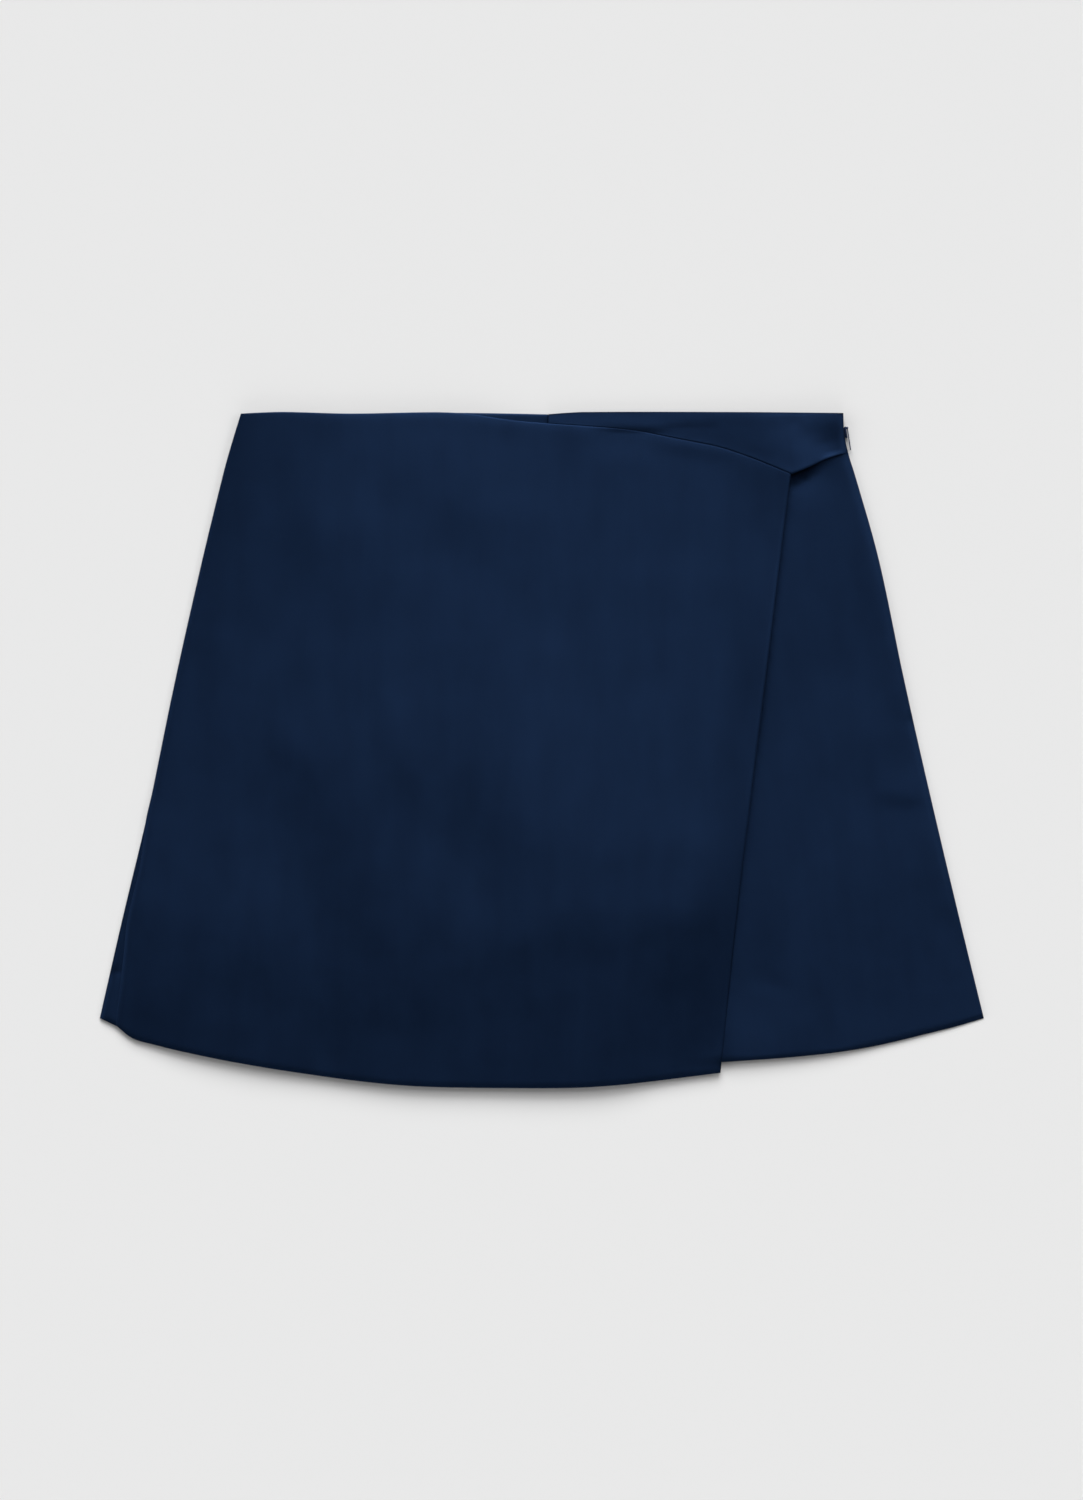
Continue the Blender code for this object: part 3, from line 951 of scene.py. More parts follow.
    def shell(self, x: Array, y: Array, z: Array, under: Array, depth: Array) -> Piece:
        """Turn a grid of places into a closed shell.

        Args:
            x: Places across.
            y: Places up.
            z: Heights of the upper side.
            under: Heights of the underside.
            depth: How much shade is painted at each place.

        Returns:
            The shell, with a rounded rim and the cloth's own map.
        """
        rows, columns = x.shape
        upper = np.stack((x, y, z), axis=-1).reshape(-1, 3) * MM
        lower = np.stack((x, y, under), axis=-1).reshape(-1, 3) * MM
        index = np.arange(rows * columns).reshape(rows, columns)
        quads = np.stack((index[1:, :-1], index[1:, 1:], index[:-1, 1:], index[:-1, :-1]), axis=-1)
        quads = quads.reshape(-1, 4)
        ring = np.concatenate((index[0, ::-1], index[1:, 0], index[-1, 1:], index[-2:0:-1, -1]))
        ahead = np.roll(ring, -1)
        count = rows * columns
        wall = np.stack((ring, ring + count, ahead + count, ahead), axis=-1)
        faces = np.concatenate((quads, quads[:, ::-1] + count, wall))
        spots = np.concatenate((upper, lower))
        mesh = bpy.data.meshes.new(self.node + "_cloth")
        mesh.from_pydata(spots.tolist(), [], faces.tolist())
        corner = np.zeros(len(mesh.loops), dtype=np.int32)
        mesh.loops.foreach_get("vertex_index", corner)
        cloth = mesh.uv_layers.new(name=CLOTH_MAP)
        cloth.uv.foreach_set("vector", spots[corner, :2].astype(np.float32).ravel())
        shade = mesh.attributes.new(SHADE, "FLOAT", "POINT")
        shade.data.foreach_set("value", np.tile(depth.ravel(), 2).astype(np.float32))
        mesh.materials.append(self.finish.material())
        piece = bpy.data.objects.new(mesh.name, mesh)
        bpy.context.scene.collection.objects.link(piece)

        round_edges(piece, self.ROUNDED * self.thickness, 3, 55.0)
        bpy.ops.object.shade_smooth()
        return piece


def settle() -> None:
    """Bake the selected objects' placement into their meshes."""
    bpy.ops.object.transform_apply(location=True, rotation=True, scale=True)


def select_only(piece: Piece) -> None:
    """Make one object the only selected and active one.

    Args:
        piece: The object.
    """
    for thing in bpy.context.view_layer.objects:
        thing.select_set(False)
    piece.select_set(True)
    bpy.context.view_layer.objects.active = piece


def round_edges(piece: Piece, width: float, segments: int = 2, sharp: float = 40.0) -> None:
    """Round a piece's sharp edges.

    Args:
        piece: The piece.
        width: The width of the rounding.
        segments: How many faces go across it.
        sharp: The angle in degrees above which an edge is rounded.
    """
    select_only(piece)
    edge = piece.modifiers.new("edge", "BEVEL")
    edge.width = width * MM
    edge.segments = segments
    edge.limit_method = "ANGLE"
    edge.angle_limit = math.radians(sharp)
    edge.use_clamp_overlap = True
    bpy.ops.object.modifier_apply(modifier=edge.name)


def painted_seam_shade(x: Array) -> Array:
    """Return how much shade is painted along the band's seam, fainter to the wearer's right."""
    return 0.04 + 0.34 * ramp(x, 55.0, 92.0)


def dips(folds: Sequence[Fold], x: Array, y: Array) -> Array:
    """Return how far a set of folds takes the cloth down at each place."""
    return sum((fold.dip(x, y) for fold in folds), np.zeros(x.shape))


@dataclass
class Shorts:
    """The A-line shorts: two flat back panels and two front panels."""

    lift: Rise = Rise(
        rows=(
            (-210.0, 0.0), (-180.0, 0.1), (-100.0, -0.4), (0.0, -1.0),
            (40.0, -1.3), (120.0, -0.7), (200.0, 0.0),
        ),
        blend=18.0,
    )
    left_folds: tuple[Fold, ...] = (
        Fold(((146, 161), (157, 166), (170, 172), (182, 177)), 5, 0.5, 12, (0.45, 0.45)),
        Fold(((198, -24), (218, -27), (240, -28)), 18, -0.42, 5.5, (0.4, 0.4)),
        Fold(((188, 120), (194, 90), (197, 50), (195, 10)), 10, 0.30, 14),
        Fold(((243, -92), (252, -112), (262, -134)), 3.5, 0.55, 7, (0.4, 0.4)),
        Fold(((132, -128), (136, -142), (150, -150)), 7, 0.2, 5),
    )
    right_folds: tuple[Fold, ...] = (
        Fold(((-262, -60), (-266, -100), (-267, -131)), 5, 0.5, 5, (0.3, 0.3)),
    )
    back_folds: tuple[Fold, ...] = (
        Fold(((-146, 96), (-139, 50), (-138, 0), (-147, -62)), 15, -0.42, 22, (0.5, 0.5)),
        Fold(((-72, 84), (-62, 24), (-68, -52)), 11, -0.28, 17, (0.5, 0.4)),
        Fold(((58, 98), (70, 34), (68, -34)), 13, -0.34, 18, (0.4, 0.5)),
        Fold(((138, 52), (150, -12), (146, -92)), 17, -0.40, 11, (0.5, 0.5)),
        Fold(((-176, -88), (-150, -101), (-118, -98)), 7, -0.22, 11, (0.4, 0.4)),
    )
    flap_fall: float = 1.8
    lap_rise: float = 1.2
    pocket: Pair = (155.0, 163.5)

    def front(self, folds: tuple[Fold, ...], seed: float) -> Height:
        """Shape a front panel.

        Args:
            folds: The panel's folds.
            seed: Which waves it has.

        Returns:
            The panel's relief.
        """

        def relief(x: Array, y: Array) -> Array:
            """Work out how far the panel lies above its solid.

            Args:
                x: Places across.
                y: Places up.

            Returns:
                The relief at each place.
            """
            hem_line = 0.3 * ramp(x, -240.0, -252.0) * ramp(y, -134.0, -137.0)
            fall = self.flap_fall * ramp(y, -45.0, -165.0) * ramp(x, 160.0, 215.0)
            lap = self.lap_rise * ramp(y, -138.0, -195.0) * ramp(x, 180.0, 122.0)
            fall = fall - lap * ramp(x, 104.0, 118.0)
            waves = waviness(x, y, (55.0, seed), (20.0, seed))
            return self.lift(y) + waves + hem_line - fall - dips(folds, x, y)

        return relief

    def back(self, x: Array, y: Array) -> Array:
        """Return a back panel's relief: flat but for shallow creases up off the surface."""
        return -dips(self.back_folds, x, y)

    def tab_shade(self, x: Array, y: Array) -> Array:
        """Paint the shadow under the band's tab, and a painted shadow line along the wrap's free edge.

        Args:
            x: Places across.
            y: Places up.

        Returns:
            How much shade is painted at each place.
        """
        along, across = x - self.pocket[0], y - self.pocket[1]
        edge = across - 0.42 * along
        # The painted shadow under the tab, a wedge that narrows to the right.
        wedge = np.exp(-((np.maximum(-edge, 0.0) / (3.0 * ramp(along, 24.0, -6.0) + 0.5)) ** 2))
        painted_shade = 0.72 * wedge * ramp(along, 21.0, 5.0) * ramp(along, -9.0, -3.0) * ramp(edge, 12.0, 8.0)
        # A painted shadow line on the panel along the wrap's free edge.
        beside = x - FREE_LINE[0] - FREE_LINE[1] * y
        line = 0.28 * np.exp(-((beside / 1.6) ** 2)) * ramp(y, 166.0, 160.0) * ramp(y, -110.0, 40.0)
        return np.maximum(painted_shade, line)

    def strip_shade(self, x: Array, y: Array) -> Array:
        """Paint shade on the strip beside the wrap's left edge, above the hem's turn-up.

        Args:
            x: Places across.
            y: Places up.

        Returns:
            How dark each place is.
        """
        above = ramp(y, -137.5, -134.5)
        # Painted shade, strongest just above the turn-up.
        depth = 0.12 * ramp(y, -30.0, -80.0) + 0.38 * ramp(y, -129.0, -135.0)
        return above * ramp(x, -248.0, -256.0) * depth

    def build(self, tape: Piece) -> tuple[Piece, ...]:
        """Make the four panels.

        Args:
            tape: The zip's tape, which the left front panel covers.

        Returns:
            The two front panels, left and right.
        """
        fronts = []
        for side, folds, grain, seed, shade in (
            ("left", self.left_folds, Grain.LEFT_PANEL, 3.1, self.tab_shade),
            ("right", self.right_folds, Grain.RIGHT_PANEL, 8.7, self.strip_shade),
        ):
            zipped = side == "left"
            back = ClothPanel(
                node=f"back_leg_{side}", slot="crepe_back",
                finish=CrepeFinish(f"crepe_back_{side}", grain), relief=self.back,
                cell=4.0, seed=seed + 1.0, top=Rims.PLAIN, bottom=Rims.PLAIN,
                left=Rims.SEAMED if zipped else Rims.PLAIN,
                right=Rims.PLAIN if zipped else Rims.SEAMED,
            ).build()
            front = ClothPanel(
                node=f"front_leg_{side}", slot="crepe_front",
                finish=CrepeFinish(f"crepe_front_{side}", grain), relief=self.front(folds, seed),
                cell=2.8, seed=seed, shade=shade, rests_on=(back, tape) if zipped else (back,),
                top=Rims.TOP_EDGE, bottom=Rims.TURNED_HEM,
                left=Rims.SEAMED if zipped else Rims.SIDE_SEAM,
                right=Rims.SIDE_SEAM if zipped else Rims.SEAMED,
            ).build()
            fronts.append(front)
        return tuple(fronts)


@dataclass
class Wrap:
    """The wrap panel that lies over the front of the shorts."""

    middle: Rise = Rise(
        rows=(
            (-210.0, 0.4), (-180.0, 0.7), (-160.0, 0.9), (-130.0, 1.2), (-104.0, 1.9), (-60.0, 1.3),
            (-20.0, 0.0), (40.0, -1.6), (80.0, -2.2), (120.0, -2.1), (160.0, -1.3), (205.0, 0.5),
        ),
        blend=9.0,
    )
    hip: Rise = Rise(
        rows=(
            (-210.0, -0.4), (-180.0, -0.1), (-160.0, 0.1), (-130.0, 0.3), (-104.0, 0.5), (-60.0, -0.1),
            (-20.0, -0.6), (40.0, -1.1), (80.0, -1.0), (120.0, -0.4), (160.0, 0.7), (205.0, 2.5),
        ),
        blend=9.0,
    )
    free_edge: Rise = Rise(
        rows=(
            (-210.0, -2.6), (-185.0, -2.2), (-160.0, -1.1), (-130.0, 0.4), (-100.0, 2.0), (-70.0, 3.4),
            (-40.0, 4.4), (0.0, 3.9), (80.0, 2.2), (120.0, 1.2), (160.0, 0.5), (205.0, 0.6),
        ),
        blend=9.0,
    )
    shoulder: Rise = Rise(
        rows=(
            (-250.0, 14.0), (-180.0, -18.0), (-110.0, -36.0), (-60.0, -34.0), (-20.0, -8.0), (10.0, 0.0),
        ),
        blend=10.0,
    )
    folds: tuple[Fold, ...] = (
        Fold(((-156, 205), (-143, 165), (-129, 120), (-120, 70), (-116, 30)), 70, -0.7, 20),
        Fold(((-163, 110), (-160, 60), (-155, 20), (-135, -12), (-120, -42), (-110, -75),
              (-105, -120), (-105, -190)), 80, -2.2, 13, (0.5, 0.5), flare=3.4),
        Fold(((-106, 150), (-97, 95), (-90, 40), (-76, -5), (-56, -40), (-36, -66), (-12, -88)),
             66, -1.6, 17, (0.55, 0.5), flare=1.3),
        Fold(((-120, 200), (-76, 172), (-40, 142), (-12, 112), (20, 70)), 34, -0.6, 22),
        Fold(((-146, 0), (-140, -60), (-134, -120), (-132, -230)), 34, 0.9, 26, (0.6, 0.05)),
        Fold(((26, 193.8), (54, 193.0), (84, 192.4)), 2.6, 0.50, 13, (0.4, 0.4)),
        Fold(((66, 195.0), (90, 196.2), (116, 196.6)), 2.4, 0.20, 12, (0.4, 0.4)),
        Fold(((60, 182), (95, 177), (128, 171)), 6, 0.18, 14, (0.4, 0.4)),
        Fold(((-116, -168), (-90, -173), (-62, -170)), 9, 0.14, 12, (0.4, 0.4)),
        Fold(((-216, -142), (-190, -147), (-164, -143)), 9, 0.18, 14, (0.4, 0.4)),
        Fold(((-32, -160), (-8, -164), (16, -161)), 9, 0.12, 14, (0.4, 0.4)),
    )
    hem_corner: float = 1.3

    def relief(self, x: Array, y: Array) -> Array:
        """Work out how far the wrap lies above its solid.

        Args:
            x: Places across.
            y: Places up.

        Returns:
            The relief at each place.
        """
        shifted = y - self.shoulder(x) * ramp(y, 110.0, -70.0)
        hip = ramp(x, 5.0, -50.0)
        lift = (1.0 - hip) * self.middle(shifted) + hip * self.hip(shifted)
        inward = FREE_LINE[0] + FREE_LINE[1] * y - x
        free = ramp(inward - 42.0 * ramp(y, -35.0, -160.0), 34.0, -14.0)
        lift = (1.0 - free) * lift + free * self.free_edge(y)
        waves = waviness(x, y, (60.0, 1.3), (22.0, 2.4))
        waves = waves * ramp(x, -215.0, -180.0)
        corner = self.hem_corner * mound(x, y, (-246.0, -178.0), (22.0, 28.0))
        return lift + waves - corner - dips(self.folds, x, y)

    def seam_shade(self, x: Array, y: Array) -> Array:
        """Paint shade along the band's seam, on the wrap's top row.

        Args:
            x: Places across.
            y: Places up. Not used.

        Returns:
            How much shade is painted at each place.
        """
        shade = np.zeros(x.shape)
        shade[0] = painted_seam_shade(x[0])
        return shade

    def build(self, fronts: tuple[Piece, ...]) -> Piece:
        """Make the panel over the two front panels.

        Args:
            fronts: The shorts' front panels.

        Returns:
            The panel.
        """
        return ClothPanel(
            node="wrap_panel", slot="crepe_wrap", finish=CrepeFinish("crepe_wrap_front", Grain.STRAIGHT),
            relief=self.relief, corners=Corners(bottom_left=(-1.0, -0.5)), cell=2.5, seed=1.9,
            top=Rims.SEAMED, bottom=Rims.TURNED_HEM, left=Rims.ROLLED, right=Rims.FREE_EDGE,
            rests_on=fronts, shade=self.seam_shade,
        ).build()


@dataclass
class Band:
    """The band along the wrap's top, gathered into the left side seam."""

    wrap: Wrap
    folds: tuple[Fold, ...] = (
        Fold(((150, 206), (153, 200), (154, 192)), 5, 0.15, 8),
        Fold(((150, 187), (168, 191), (190, 193.5)), 6, 0.25, 12, (0.45, 0.2)),
        Fold(((162, 184), (174, 187.4), (190, 189.2)), 2.4, 0.16, 4, (0.4, 0.2)),
        Fold(((167, 179), (178, 182.2), (190, 184.5)), 2.0, 0.14, 3, (0.4, 0.2)),
    )
    seam_fall: float = 1.1
    tilt: float = 0.02
    seam_line: Pair = (215.5, -0.308)

    def relief(self, x: Array, y: Array) -> Array:
        """Work out how far the band lies above its solid, carrying the wrap's relief on.

        Args:
            x: Places across.
            y: Places up.

        Returns:
            The relief at each place.
        """
        waves = 0.03 * rumple(x, y, 9.0, 4.2)
        fall = self.seam_fall * ramp(x, 158.0, 184.0) * ramp(y, 201.0, 180.0)
        above = np.maximum(y - self.seam_line[0] - self.seam_line[1] * np.minimum(x, 152.0), 0.0)
        tilted = self.tilt * above * ramp(x, 60.0, 110.0)
        return self.wrap.relief(x, y) + waves + tilted - fall - dips(self.folds, x, y)

    def seam_shade(self, x: Array, y: Array) -> Array:
        """Paint shade along the wrap's seam, on the band's bottom row.

        Args:
            x: Places across.
            y: Places up. Not used.

        Returns:
            How much shade is painted at each place.
        """
        shade = np.zeros(x.shape)
        shade[-1] = painted_seam_shade(x[-1]) * ramp(x[-1], 172.0, 156.0)
        return shade

    def build(self, fronts: tuple[Piece, ...]) -> Piece:
        """Make the band over the front panels.

        Args:
            fronts: The shorts' front panels.

        Returns:
            The band.
        """
        return ClothPanel(
            node="wrap_band", slot="crepe_band", finish=CrepeFinish("crepe_band_top", Grain.ALONG_BAND),
            relief=self.relief, corners=Corners(bottom_right=(1.0, -0.2), bottom_left=(-1.0, -0.1)),
            cell=1.1, blur=3.0, seed=4.4, close_rows=(0.0, 0.6, 1.3, 2.2), shade=self.seam_shade,
            top=Rims.TOP_EDGE, bottom=Rims.SEAMED, left=Rims.SEAMED, right=Rims.SIDE_SEAM,
            rests_on=fronts,
        ).build()


# --- Thread and zip ----------------------------------------------------------


def scatter(piece: Piece, name: str, places: Sequence[Matrix]) -> Piece:
    """Copy a small piece to many places as one mesh, and remove the first.

    Args:
        piece: The piece that is repeated.
        name: The name of the joined piece.
        places: Where each copy goes, as a matrix in metres.

    Returns:
        The joined piece, with the small piece's material.
    """
    joined = bmesh.new()
    for place in places:
        copy = piece.data.copy()
        copy.transform(place)
        joined.from_mesh(copy)
        bpy.data.meshes.remove(copy)
    mesh = bpy.data.meshes.new(name)
    joined.to_mesh(mesh)
    joined.free()
    for material in piece.data.materials:
        mesh.materials.append(material)
    for polygon in mesh.polygons:
        polygon.use_smooth = True
    bpy.data.objects.remove(piece, do_unlink=True)
    whole = bpy.data.objects.new(name, mesh)
    bpy.context.scene.collection.objects.link(whole)
    LOG.info("%s: %d copies, %d faces", name, len(places), len(mesh.polygons))
    return whole


@dataclass
class Stitching:
    """The lockstitch that shows as small flecks in the garment's open seams."""

    pitch: float = 2.4
    length: float = 1.7
    radius: float = 0.13
    sunk: float = 0.10
    sides: int = 6
    slant: float = 4.0
    back_height: float = 0.30
    astride: float = 0.0006  # metres each side of a seam

    def stitch(self) -> Piece:
        """Make one stitch along X, thick in the middle and pulled in at both ends.

        Returns:
            The stitch.
        """
        bpy.ops.object.select_all(action="DESELECT")
        bpy.ops.mesh.primitive_uv_sphere_add(segments=self.sides, ring_count=5, radius=MM)
        stitch = bpy.context.object
        stitch.rotation_euler.y = math.radians(90.0)
        settle()
        stitch.scale = (0.5 * self.length, self.radius, self.radius)
        settle()
        stitch.data.materials.append(ThreadFinish().material())
        return stitch

    def row(self, name: str, line: SmoothLine, height: Height, ends: Pair) -> Piece:
        """Lay stitches along a seam.

        Args:
            name: The row's name.
            line: The seam.
            height: The middle height of the thread at each place.
            ends: The shares of the seam's length where the row starts and ends.

        Returns:
            The row of stitches.
        """
        count = round((ends[1] - ends[0]) * line.length / self.pitch)
        parts = np.linspace(*ends, count)
        spots, ways = line(parts), line.heading(parts)
        heights = height(spots[:, 0], spots[:, 1])
        places = []
        for (x, y), (ux, uy), z in zip(spots, ways, heights):
            turn = Matrix.Rotation(math.atan2(uy, ux) + math.radians(self.slant), 4, "Z")
            places.append(Matrix.Translation(Vector((x, y, z)) * MM) @ turn)
        return scatter(self.stitch(), name, places)

    def on_top(self, pieces: Sequence[Piece]) -> Height:
        """Sink thread into the top of some pieces.

        Args:
            pieces: The pieces that the thread lies on.

        Returns:
            The thread's height over them.
        """
        trees = [BVHTree.FromObject(piece, bpy.context.evaluated_depsgraph_get()) for piece in pieces]

        def height(x: Array, y: Array) -> Array:
            """Find the higher side of the seam, less how far the thread is sunk.

            Args:
                x: Places of the stitches across.
                y: Places of the stitches up.

            Returns:
                The thread's height at each place.
            """
            heights = []
            for across, up in zip(x * MM, y * MM):
                tops = []
                for step in (-self.astride, self.astride):
                    for tree in trees:
                        hit = tree.ray_cast(Vector((across, up + step, OVERHEAD)), DOWN)[0]
                        if hit is not None:
                            tops.append(hit.z)
                heights.append(max(tops) / MM - self.sunk)
            return np.array(heights)

        return height

    def build(self, wrap: Piece, band: Piece) -> None:
        """Make the rows in the band's seam and in the back's centre seam.

        Args:
            wrap: The wrap panel.
            band: The band.
        """
        seam = CadSurface("wrap_panel").edges(Corners(bottom_left=(-1.0, -0.5)))[0]
        row = self.row("band_seam_thread", seam, self.on_top((wrap, band)), (0.62, 0.99))
        centre = CadSurface("back_leg_left").edges(Corners())[2]
        back_row = self.row(
            "back_seam_thread", centre, lambda x, y: np.full(x.shape, self.back_height), (0.01, 0.99)
        )
        for thread, slot in ((row, "crepe_band"), (back_row, "crepe_back")):
            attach(thread, GARMENT)


class Bench:
    """Small metal pieces shaped one by one, in millimetres about the zip's hinge."""

    @staticmethod
    def block(size: Triple, place: Triple) -> Piece:
        """Add a block, with its size and place baked into its mesh.

        Args:
            size: Its size.
            place: Its middle.

        Returns:
            The block.
        """
        bpy.ops.object.select_all(action="DESELECT")
        bpy.ops.mesh.primitive_cube_add(size=1.0, location=Vector(place) * MM, scale=Vector(size) * MM)
        settle()
        return bpy.context.object

    @staticmethod
    def rod(radius: float, length: float, fill: str = "NGON") -> Piece:
        """Add a round rod along Z at the hinge.

        Args:
            radius: Its radius.
            length: Its length.
            fill: How its ends are filled: NOTHING makes it a tube.

        Returns:
            The rod.
        """
        bpy.ops.object.select_all(action="DESELECT")
        bpy.ops.mesh.primitive_cylinder_add(
            vertices=20, radius=radius * MM, depth=length * MM, end_fill_type=fill,
            location=(0.0, 0.0, 0.0),
        )
        return bpy.context.object

    @staticmethod
    def pick(wanted: Callable[[bmesh.types.BMFace], bool]) -> None:
        """Select faces in edit mode.

        Args:
            wanted: Whether a face is wanted.
        """
        bpy.ops.mesh.select_mode(type="FACE")
        bpy.ops.mesh.select_all(action="DESELECT")
        mesh = bpy.context.edit_object.data
        for face in bmesh.from_edit_mesh(mesh).faces:
            face.select_set(bool(wanted(face)))
        bmesh.update_edit_mesh(mesh)

    @staticmethod
    def press(inset: float, depth: float) -> None:
        """Inset the selected faces one by one and move them out, or in where the depth is negative."""
        bpy.ops.mesh.inset(thickness=inset * MM, use_individual=True)
        bpy.ops.transform.shrink_fatten(value=depth * MM)

    @staticmethod
    def join(name: str, pieces: Sequence[Piece]) -> Piece:
        """Join pieces.

        Args:
            name: The name of the joined piece.
            pieces: The pieces.

        Returns:
            The joined piece.
        """
        select_only(pieces[0])
        for piece in pieces[1:]:
            piece.select_set(True)
        bpy.ops.object.join()
        whole = bpy.context.object
        whole.name = name
        return whole


@dataclass
class SideZip:
    """The side zip: its woven tape, the coil on it, the slider, and the pull on its hinge."""

    lean: float = 8.34
    tape_flat: Pair = (0.010, 0.190)
    coil_pitch: float = 1.15
    coil_size: Triple = (0.9, 0.62, 0.55)
    coil_inset: float = 0.50
    coil_z: float = 1.95
    body_size: Triple = (0.9, 7.0, 4.2)
    body_place: Triple = (-1.35, -2.6, 0.0)
    throat_size: Triple = (1.6, 6.2, 1.0)
    throat_place: Triple = (-2.2, -2.6, -0.95)
    ear_size: Triple = (1.7, 1.3, 0.5)
    ear_place: Triple = (-0.45, 0.0, 1.7)
    pin: Pair = (0.25, 4.1)
    eye: Pair = (0.60, 2.2)
    eye_wall: float = 0.22
    tab_size: Triple = (0.6, 12.5, 2.4)
    tab_end: float = -13.0

    def tape(self) -> Piece:
        """Make the tape that lies inside the left side seam.

        Returns:
            The tape.
        """
        return ClothPanel(
            node="zip_tape", slot="zip_tape", finish=TapeFinish(), relief=lambda x, y: np.zeros(x.shape),
            cell=1.5, thickness=0.6, blur=1.0, flat=self.tape_flat, close_rows=(0.0, 0.4, 1.0),
            top=Rims.PLAIN, bottom=Rims.PLAIN, left=Rims.PLAIN, right=Rims.PLAIN,
        ).build()

    def coil(self) -> None:
        """Make the coil's teeth along the tape's outer edge."""
        tooth = Bench.block(self.coil_size, (0.0, 0.0, 0.0))
        round_edges(tooth, 0.16, 1)
        tooth.data.materials.append(LacquerFinish("zip_coil").material())
        line = CadSurface("zip_tape").edges(Corners())[3]
        parts = np.linspace(0.004, 0.996, round(line.length / self.coil_pitch))
        places = []
        for (x, y), (ux, uy) in zip(line(parts), line.heading(parts)):
            place = Vector((x + uy * self.coil_inset, y - ux * self.coil_inset, self.coil_z)) * MM
            turn = Matrix.Rotation(math.atan2(uy, ux) + math.pi / 2.0, 4, "Z")
            places.append(Matrix.Translation(place) @ turn)
        coil = scatter(tooth, "zip_coil_teeth", places)
        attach(coil, GARMENT)

    def slider(self) -> Piece:
        """Make the slider: a tapered body with a raised face and a hollow back, two ears and a pin.

        Returns:
            The slider.
        """
        body = Bench.block(self.body_size, self.body_place)
        bpy.ops.object.mode_set(mode="EDIT")
        Bench.pick(lambda face: face.normal.y < -0.9)
        bpy.ops.transform.resize(value=(1.0, 1.0, 0.66))
        Bench.pick(lambda face: face.normal.x > 0.9)
        Bench.press(0.55, 0.20)
        Bench.pick(lambda face: face.normal.x < -0.9)
        Bench.press(0.45, -0.35)
        bpy.ops.object.mode_set(mode="OBJECT")
        round_edges(body, 0.14)
        throat = Bench.block(self.throat_size, self.throat_place)
        round_edges(throat, 0.12)
        pieces = [body, throat]
        for side in (1.0, -1.0):
            out, along, above = self.ear_place
            ear = Bench.block(self.ear_size, (out, along, side * above))
            round_edges(ear, 0.16)
            pieces.append(ear)
        pin = Bench.rod(*self.pin)
        round_edges(pin, 0.08)
        return Bench.join("zip_slider_body", [*pieces, pin])

    def pull(self) -> Piece:
        """Make the pull: a tab with a rounded end and pressed faces, and the eye it turns on.

        Returns:
            The pull.
        """
        tab = Bench.block(self.tab_size, (0.0, self.tab_end + 0.5 * self.tab_size[1], 0.0))
        bpy.ops.object.mode_set(mode="EDIT")
        Bench.pick(lambda face: face.normal.y > 0.9)
        bpy.ops.transform.resize(value=(1.0, 1.0, 0.6))
        Bench.pick(lambda face: face.normal.y < -0.9)
        bpy.ops.mesh.inset(thickness=0.0)
        bpy.ops.transform.translate(value=(0.0, -0.6 * MM, 0.0))
        bpy.ops.transform.resize(value=(1.0, 1.0, 0.62))
        Bench.pick(lambda face: abs(face.normal.x) > 0.9 and face.calc_area() > 8.0 * MM * MM)
        Bench.press(0.42, -0.12)
        bpy.ops.object.mode_set(mode="OBJECT")
        round_edges(tab, 0.12)
        eye = Bench.rod(*self.eye, fill="NOTHING")
        wall = eye.modifiers.new("wall", "SOLIDIFY")
        wall.thickness = self.eye_wall * MM
        wall.offset = -1.0
        bpy.ops.object.modifier_apply(modifier=wall.name)
        round_edges(eye, 0.05)
        return Bench.join("zip_pull_tab", [tab, eye])

    def metal(self) -> None:
        """Put the slider and the pull at the hinge, dress them and let them ride."""
        hinge = Vector(next(joint["pos_m"] for joint in frame["joints"] if joint["child"] == PULL))
        for piece, node, body in (
            (self.slider(), "zip_slider", GARMENT), (self.pull(), "zip_pull", PULL),
        ):
            piece.location = hinge
            piece.rotation_euler.z = math.radians(self.lean)
            select_only(piece)
            settle()
            bpy.ops.object.shade_smooth_by_angle(angle=math.radians(35.0))
            piece.data.materials.clear()
            piece.data.materials.append(LacquerFinish(node + "_lacquer").material())
            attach(piece, body)
            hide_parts(node)
            LOG.info("%s: %d faces", piece.name, len(piece.data.polygons))


# --- Stage -------------------------------------------------------------------


@dataclass(frozen=True)
class SoftLight:
    """A soft light: where it stands, how wide it is and its share of the floor's light."""

    name: str
    elevation: float
    azimuth: float
    spread: float
    share: float
    distance: float = 3.0

    def hang(self) -> None:
        """Hang the light, with its azimuth measured from +Y towards -X in degrees."""
        elevation, azimuth = math.radians(self.elevation), math.radians(self.azimuth)
        towards = Vector(
            (
                -math.sin(azimuth) * math.cos(elevation),
                math.cos(azimuth) * math.cos(elevation),
                math.sin(elevation),
            )
        )
        lamp = bpy.data.lights.new(self.name, "SUN")
        lamp.angle = math.radians(self.spread)
        lamp.energy = self.share * math.pi / math.sin(elevation)
        holder = bpy.data.objects.new(self.name, lamp)
        holder.rotation_euler = towards.to_track_quat("Z", "Y").to_euler()
        holder.location = towards * self.distance
        bpy.context.scene.collection.objects.link(holder)


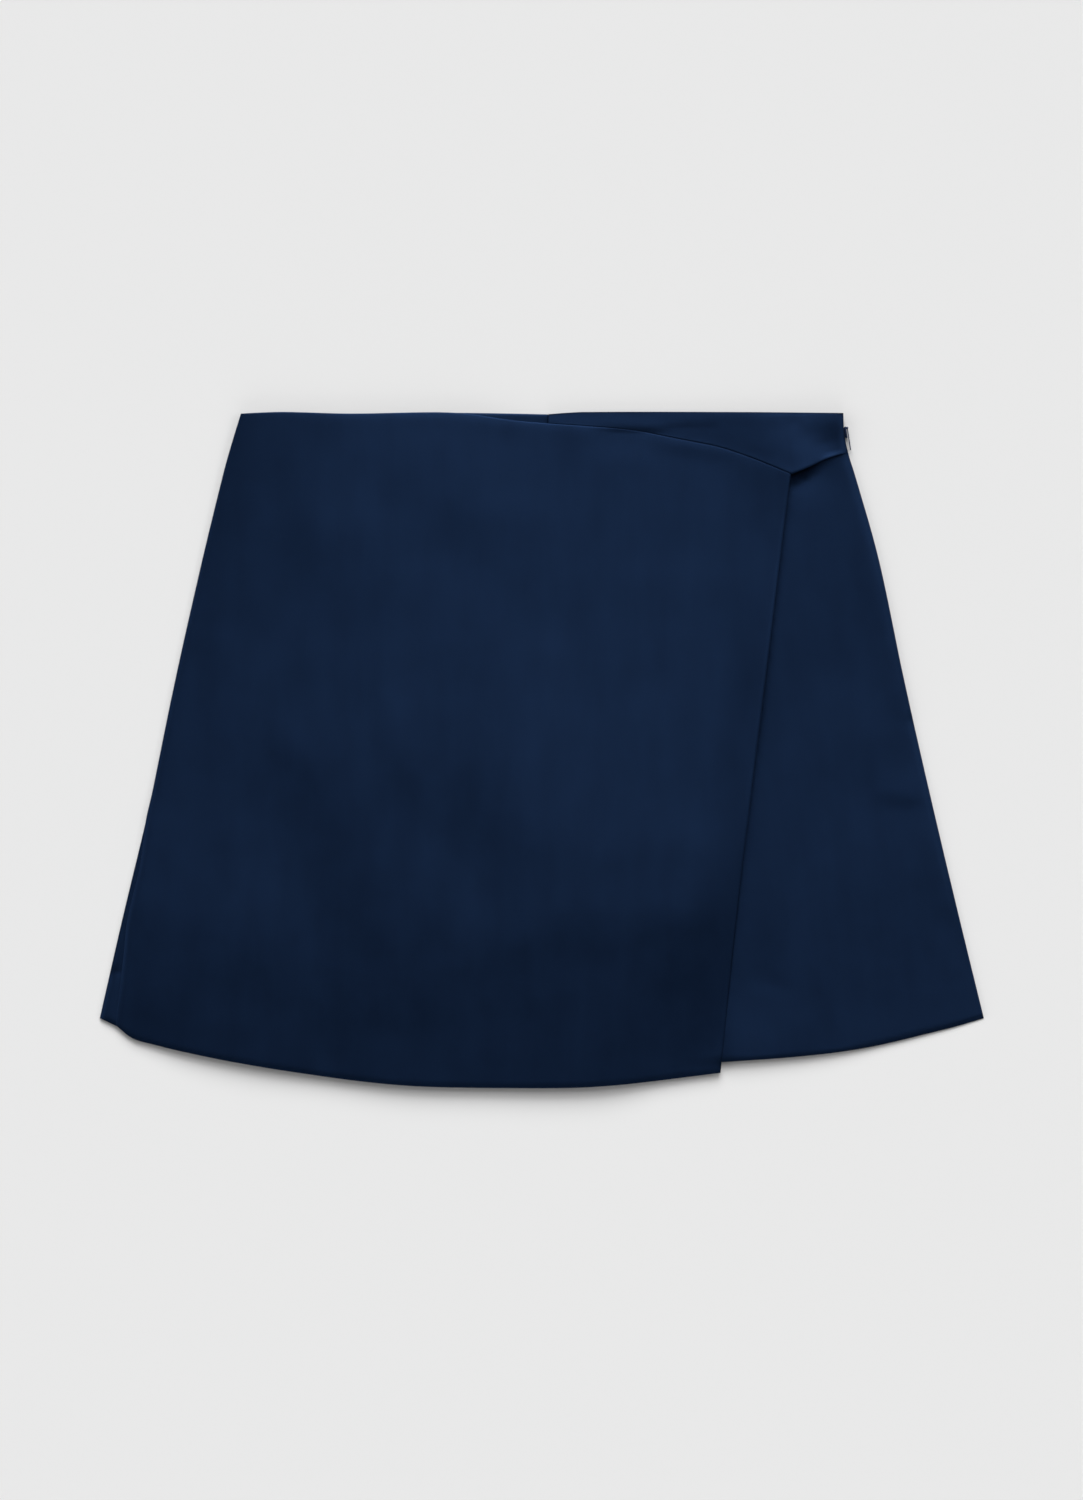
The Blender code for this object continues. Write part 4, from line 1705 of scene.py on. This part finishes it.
@dataclass
class Studio:
    """Pale floor, soft lights with the main one beyond the waist, and the camera above."""

    floor_side: float = 12.0
    floor_drop: float = 0.0003
    view_height: float = 0.915
    lens: float = 300.0
    sensor: float = 36.0
    clip_end: float = 100.0
    ambient: float = 0.08
    backdrop: float = 0.8
    lamps: tuple[SoftLight, ...] = (
        SoftLight("key", elevation=38.0, azimuth=2.0, spread=38.0, share=0.41),
        SoftLight("high", elevation=61.0, azimuth=-10.0, spread=36.0, share=0.30),
        SoftLight("left_fill", elevation=30.0, azimuth=88.0, spread=50.0, share=0.09),
        SoftLight("right_fill", elevation=50.0, azimuth=-80.0, spread=30.0, share=0.08),
        SoftLight("hem_fill", elevation=22.0, azimuth=180.0, spread=50.0, share=0.06),
    )

    def floor(self) -> None:
        """Lay the floor just under the garment."""
        bpy.ops.object.select_all(action="DESELECT")
        bpy.ops.mesh.primitive_plane_add(size=self.floor_side, location=(0.0, 0.0, -self.floor_drop))
        plane = bpy.context.object
        plane.name = "floor"
        settle()
        plane.data.materials.append(FloorFinish().material())

    def lights(self) -> None:
        """Hang the lights and set the even light of the room."""
        for lamp in self.lamps:
            lamp.hang()
        world = bpy.data.worlds.new("room")
        world.use_nodes = True
        nodes, links = world.node_tree.nodes, world.node_tree.links
        room = nodes["Background"]
        room.inputs["Strength"].default_value = self.ambient
        room.inputs["Color"].default_value = (1.0, 1.0, 1.0, 1.0)
        backdrop = nodes.new("ShaderNodeBackground")
        backdrop.inputs["Color"].default_value = (*(self.backdrop,) * 3, 1.0)
        path = nodes.new("ShaderNodeLightPath")
        mix = nodes.new("ShaderNodeMixShader")
        links.new(path.outputs["Is Camera Ray"], mix.inputs["Fac"])
        links.new(room.outputs["Background"], mix.inputs[1])
        links.new(backdrop.outputs["Background"], mix.inputs[2])
        links.new(mix.outputs["Shader"], nodes["World Output"].inputs["Surface"])
        bpy.context.scene.world = world

    def camera(self) -> None:
        """Hang the camera straight above the garment's middle."""
        data = bpy.data.cameras.new("above")
        data.lens = self.lens
        data.sensor_width = self.sensor
        data.clip_end = self.clip_end
        holder = bpy.data.objects.new("above", data)
        holder.location = (0.0, 0.0, self.view_height * self.lens / self.sensor)
        bpy.context.scene.collection.objects.link(holder)
        bpy.context.scene.camera = holder

    def build(self) -> None:
        """Set up the whole stage."""
        self.floor()
        self.lights()
        self.camera()
        bpy.context.scene.view_settings.view_transform = "Standard"


def main() -> None:
    """Build the garment's pieces in order, then the stage."""
    logging.basicConfig(level=logging.INFO, format="%(message)s")
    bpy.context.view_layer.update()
    zipper = SideZip()
    tape = zipper.tape()
    zipper.coil()
    zipper.metal()
    fronts = Shorts().build(tape)
    wrap = Wrap()
    panel = wrap.build(fronts)
    band = Band(wrap).build(fronts)
    Stitching().build(panel, band)
    Studio().build()


if __name__ == "__main__":
    main()
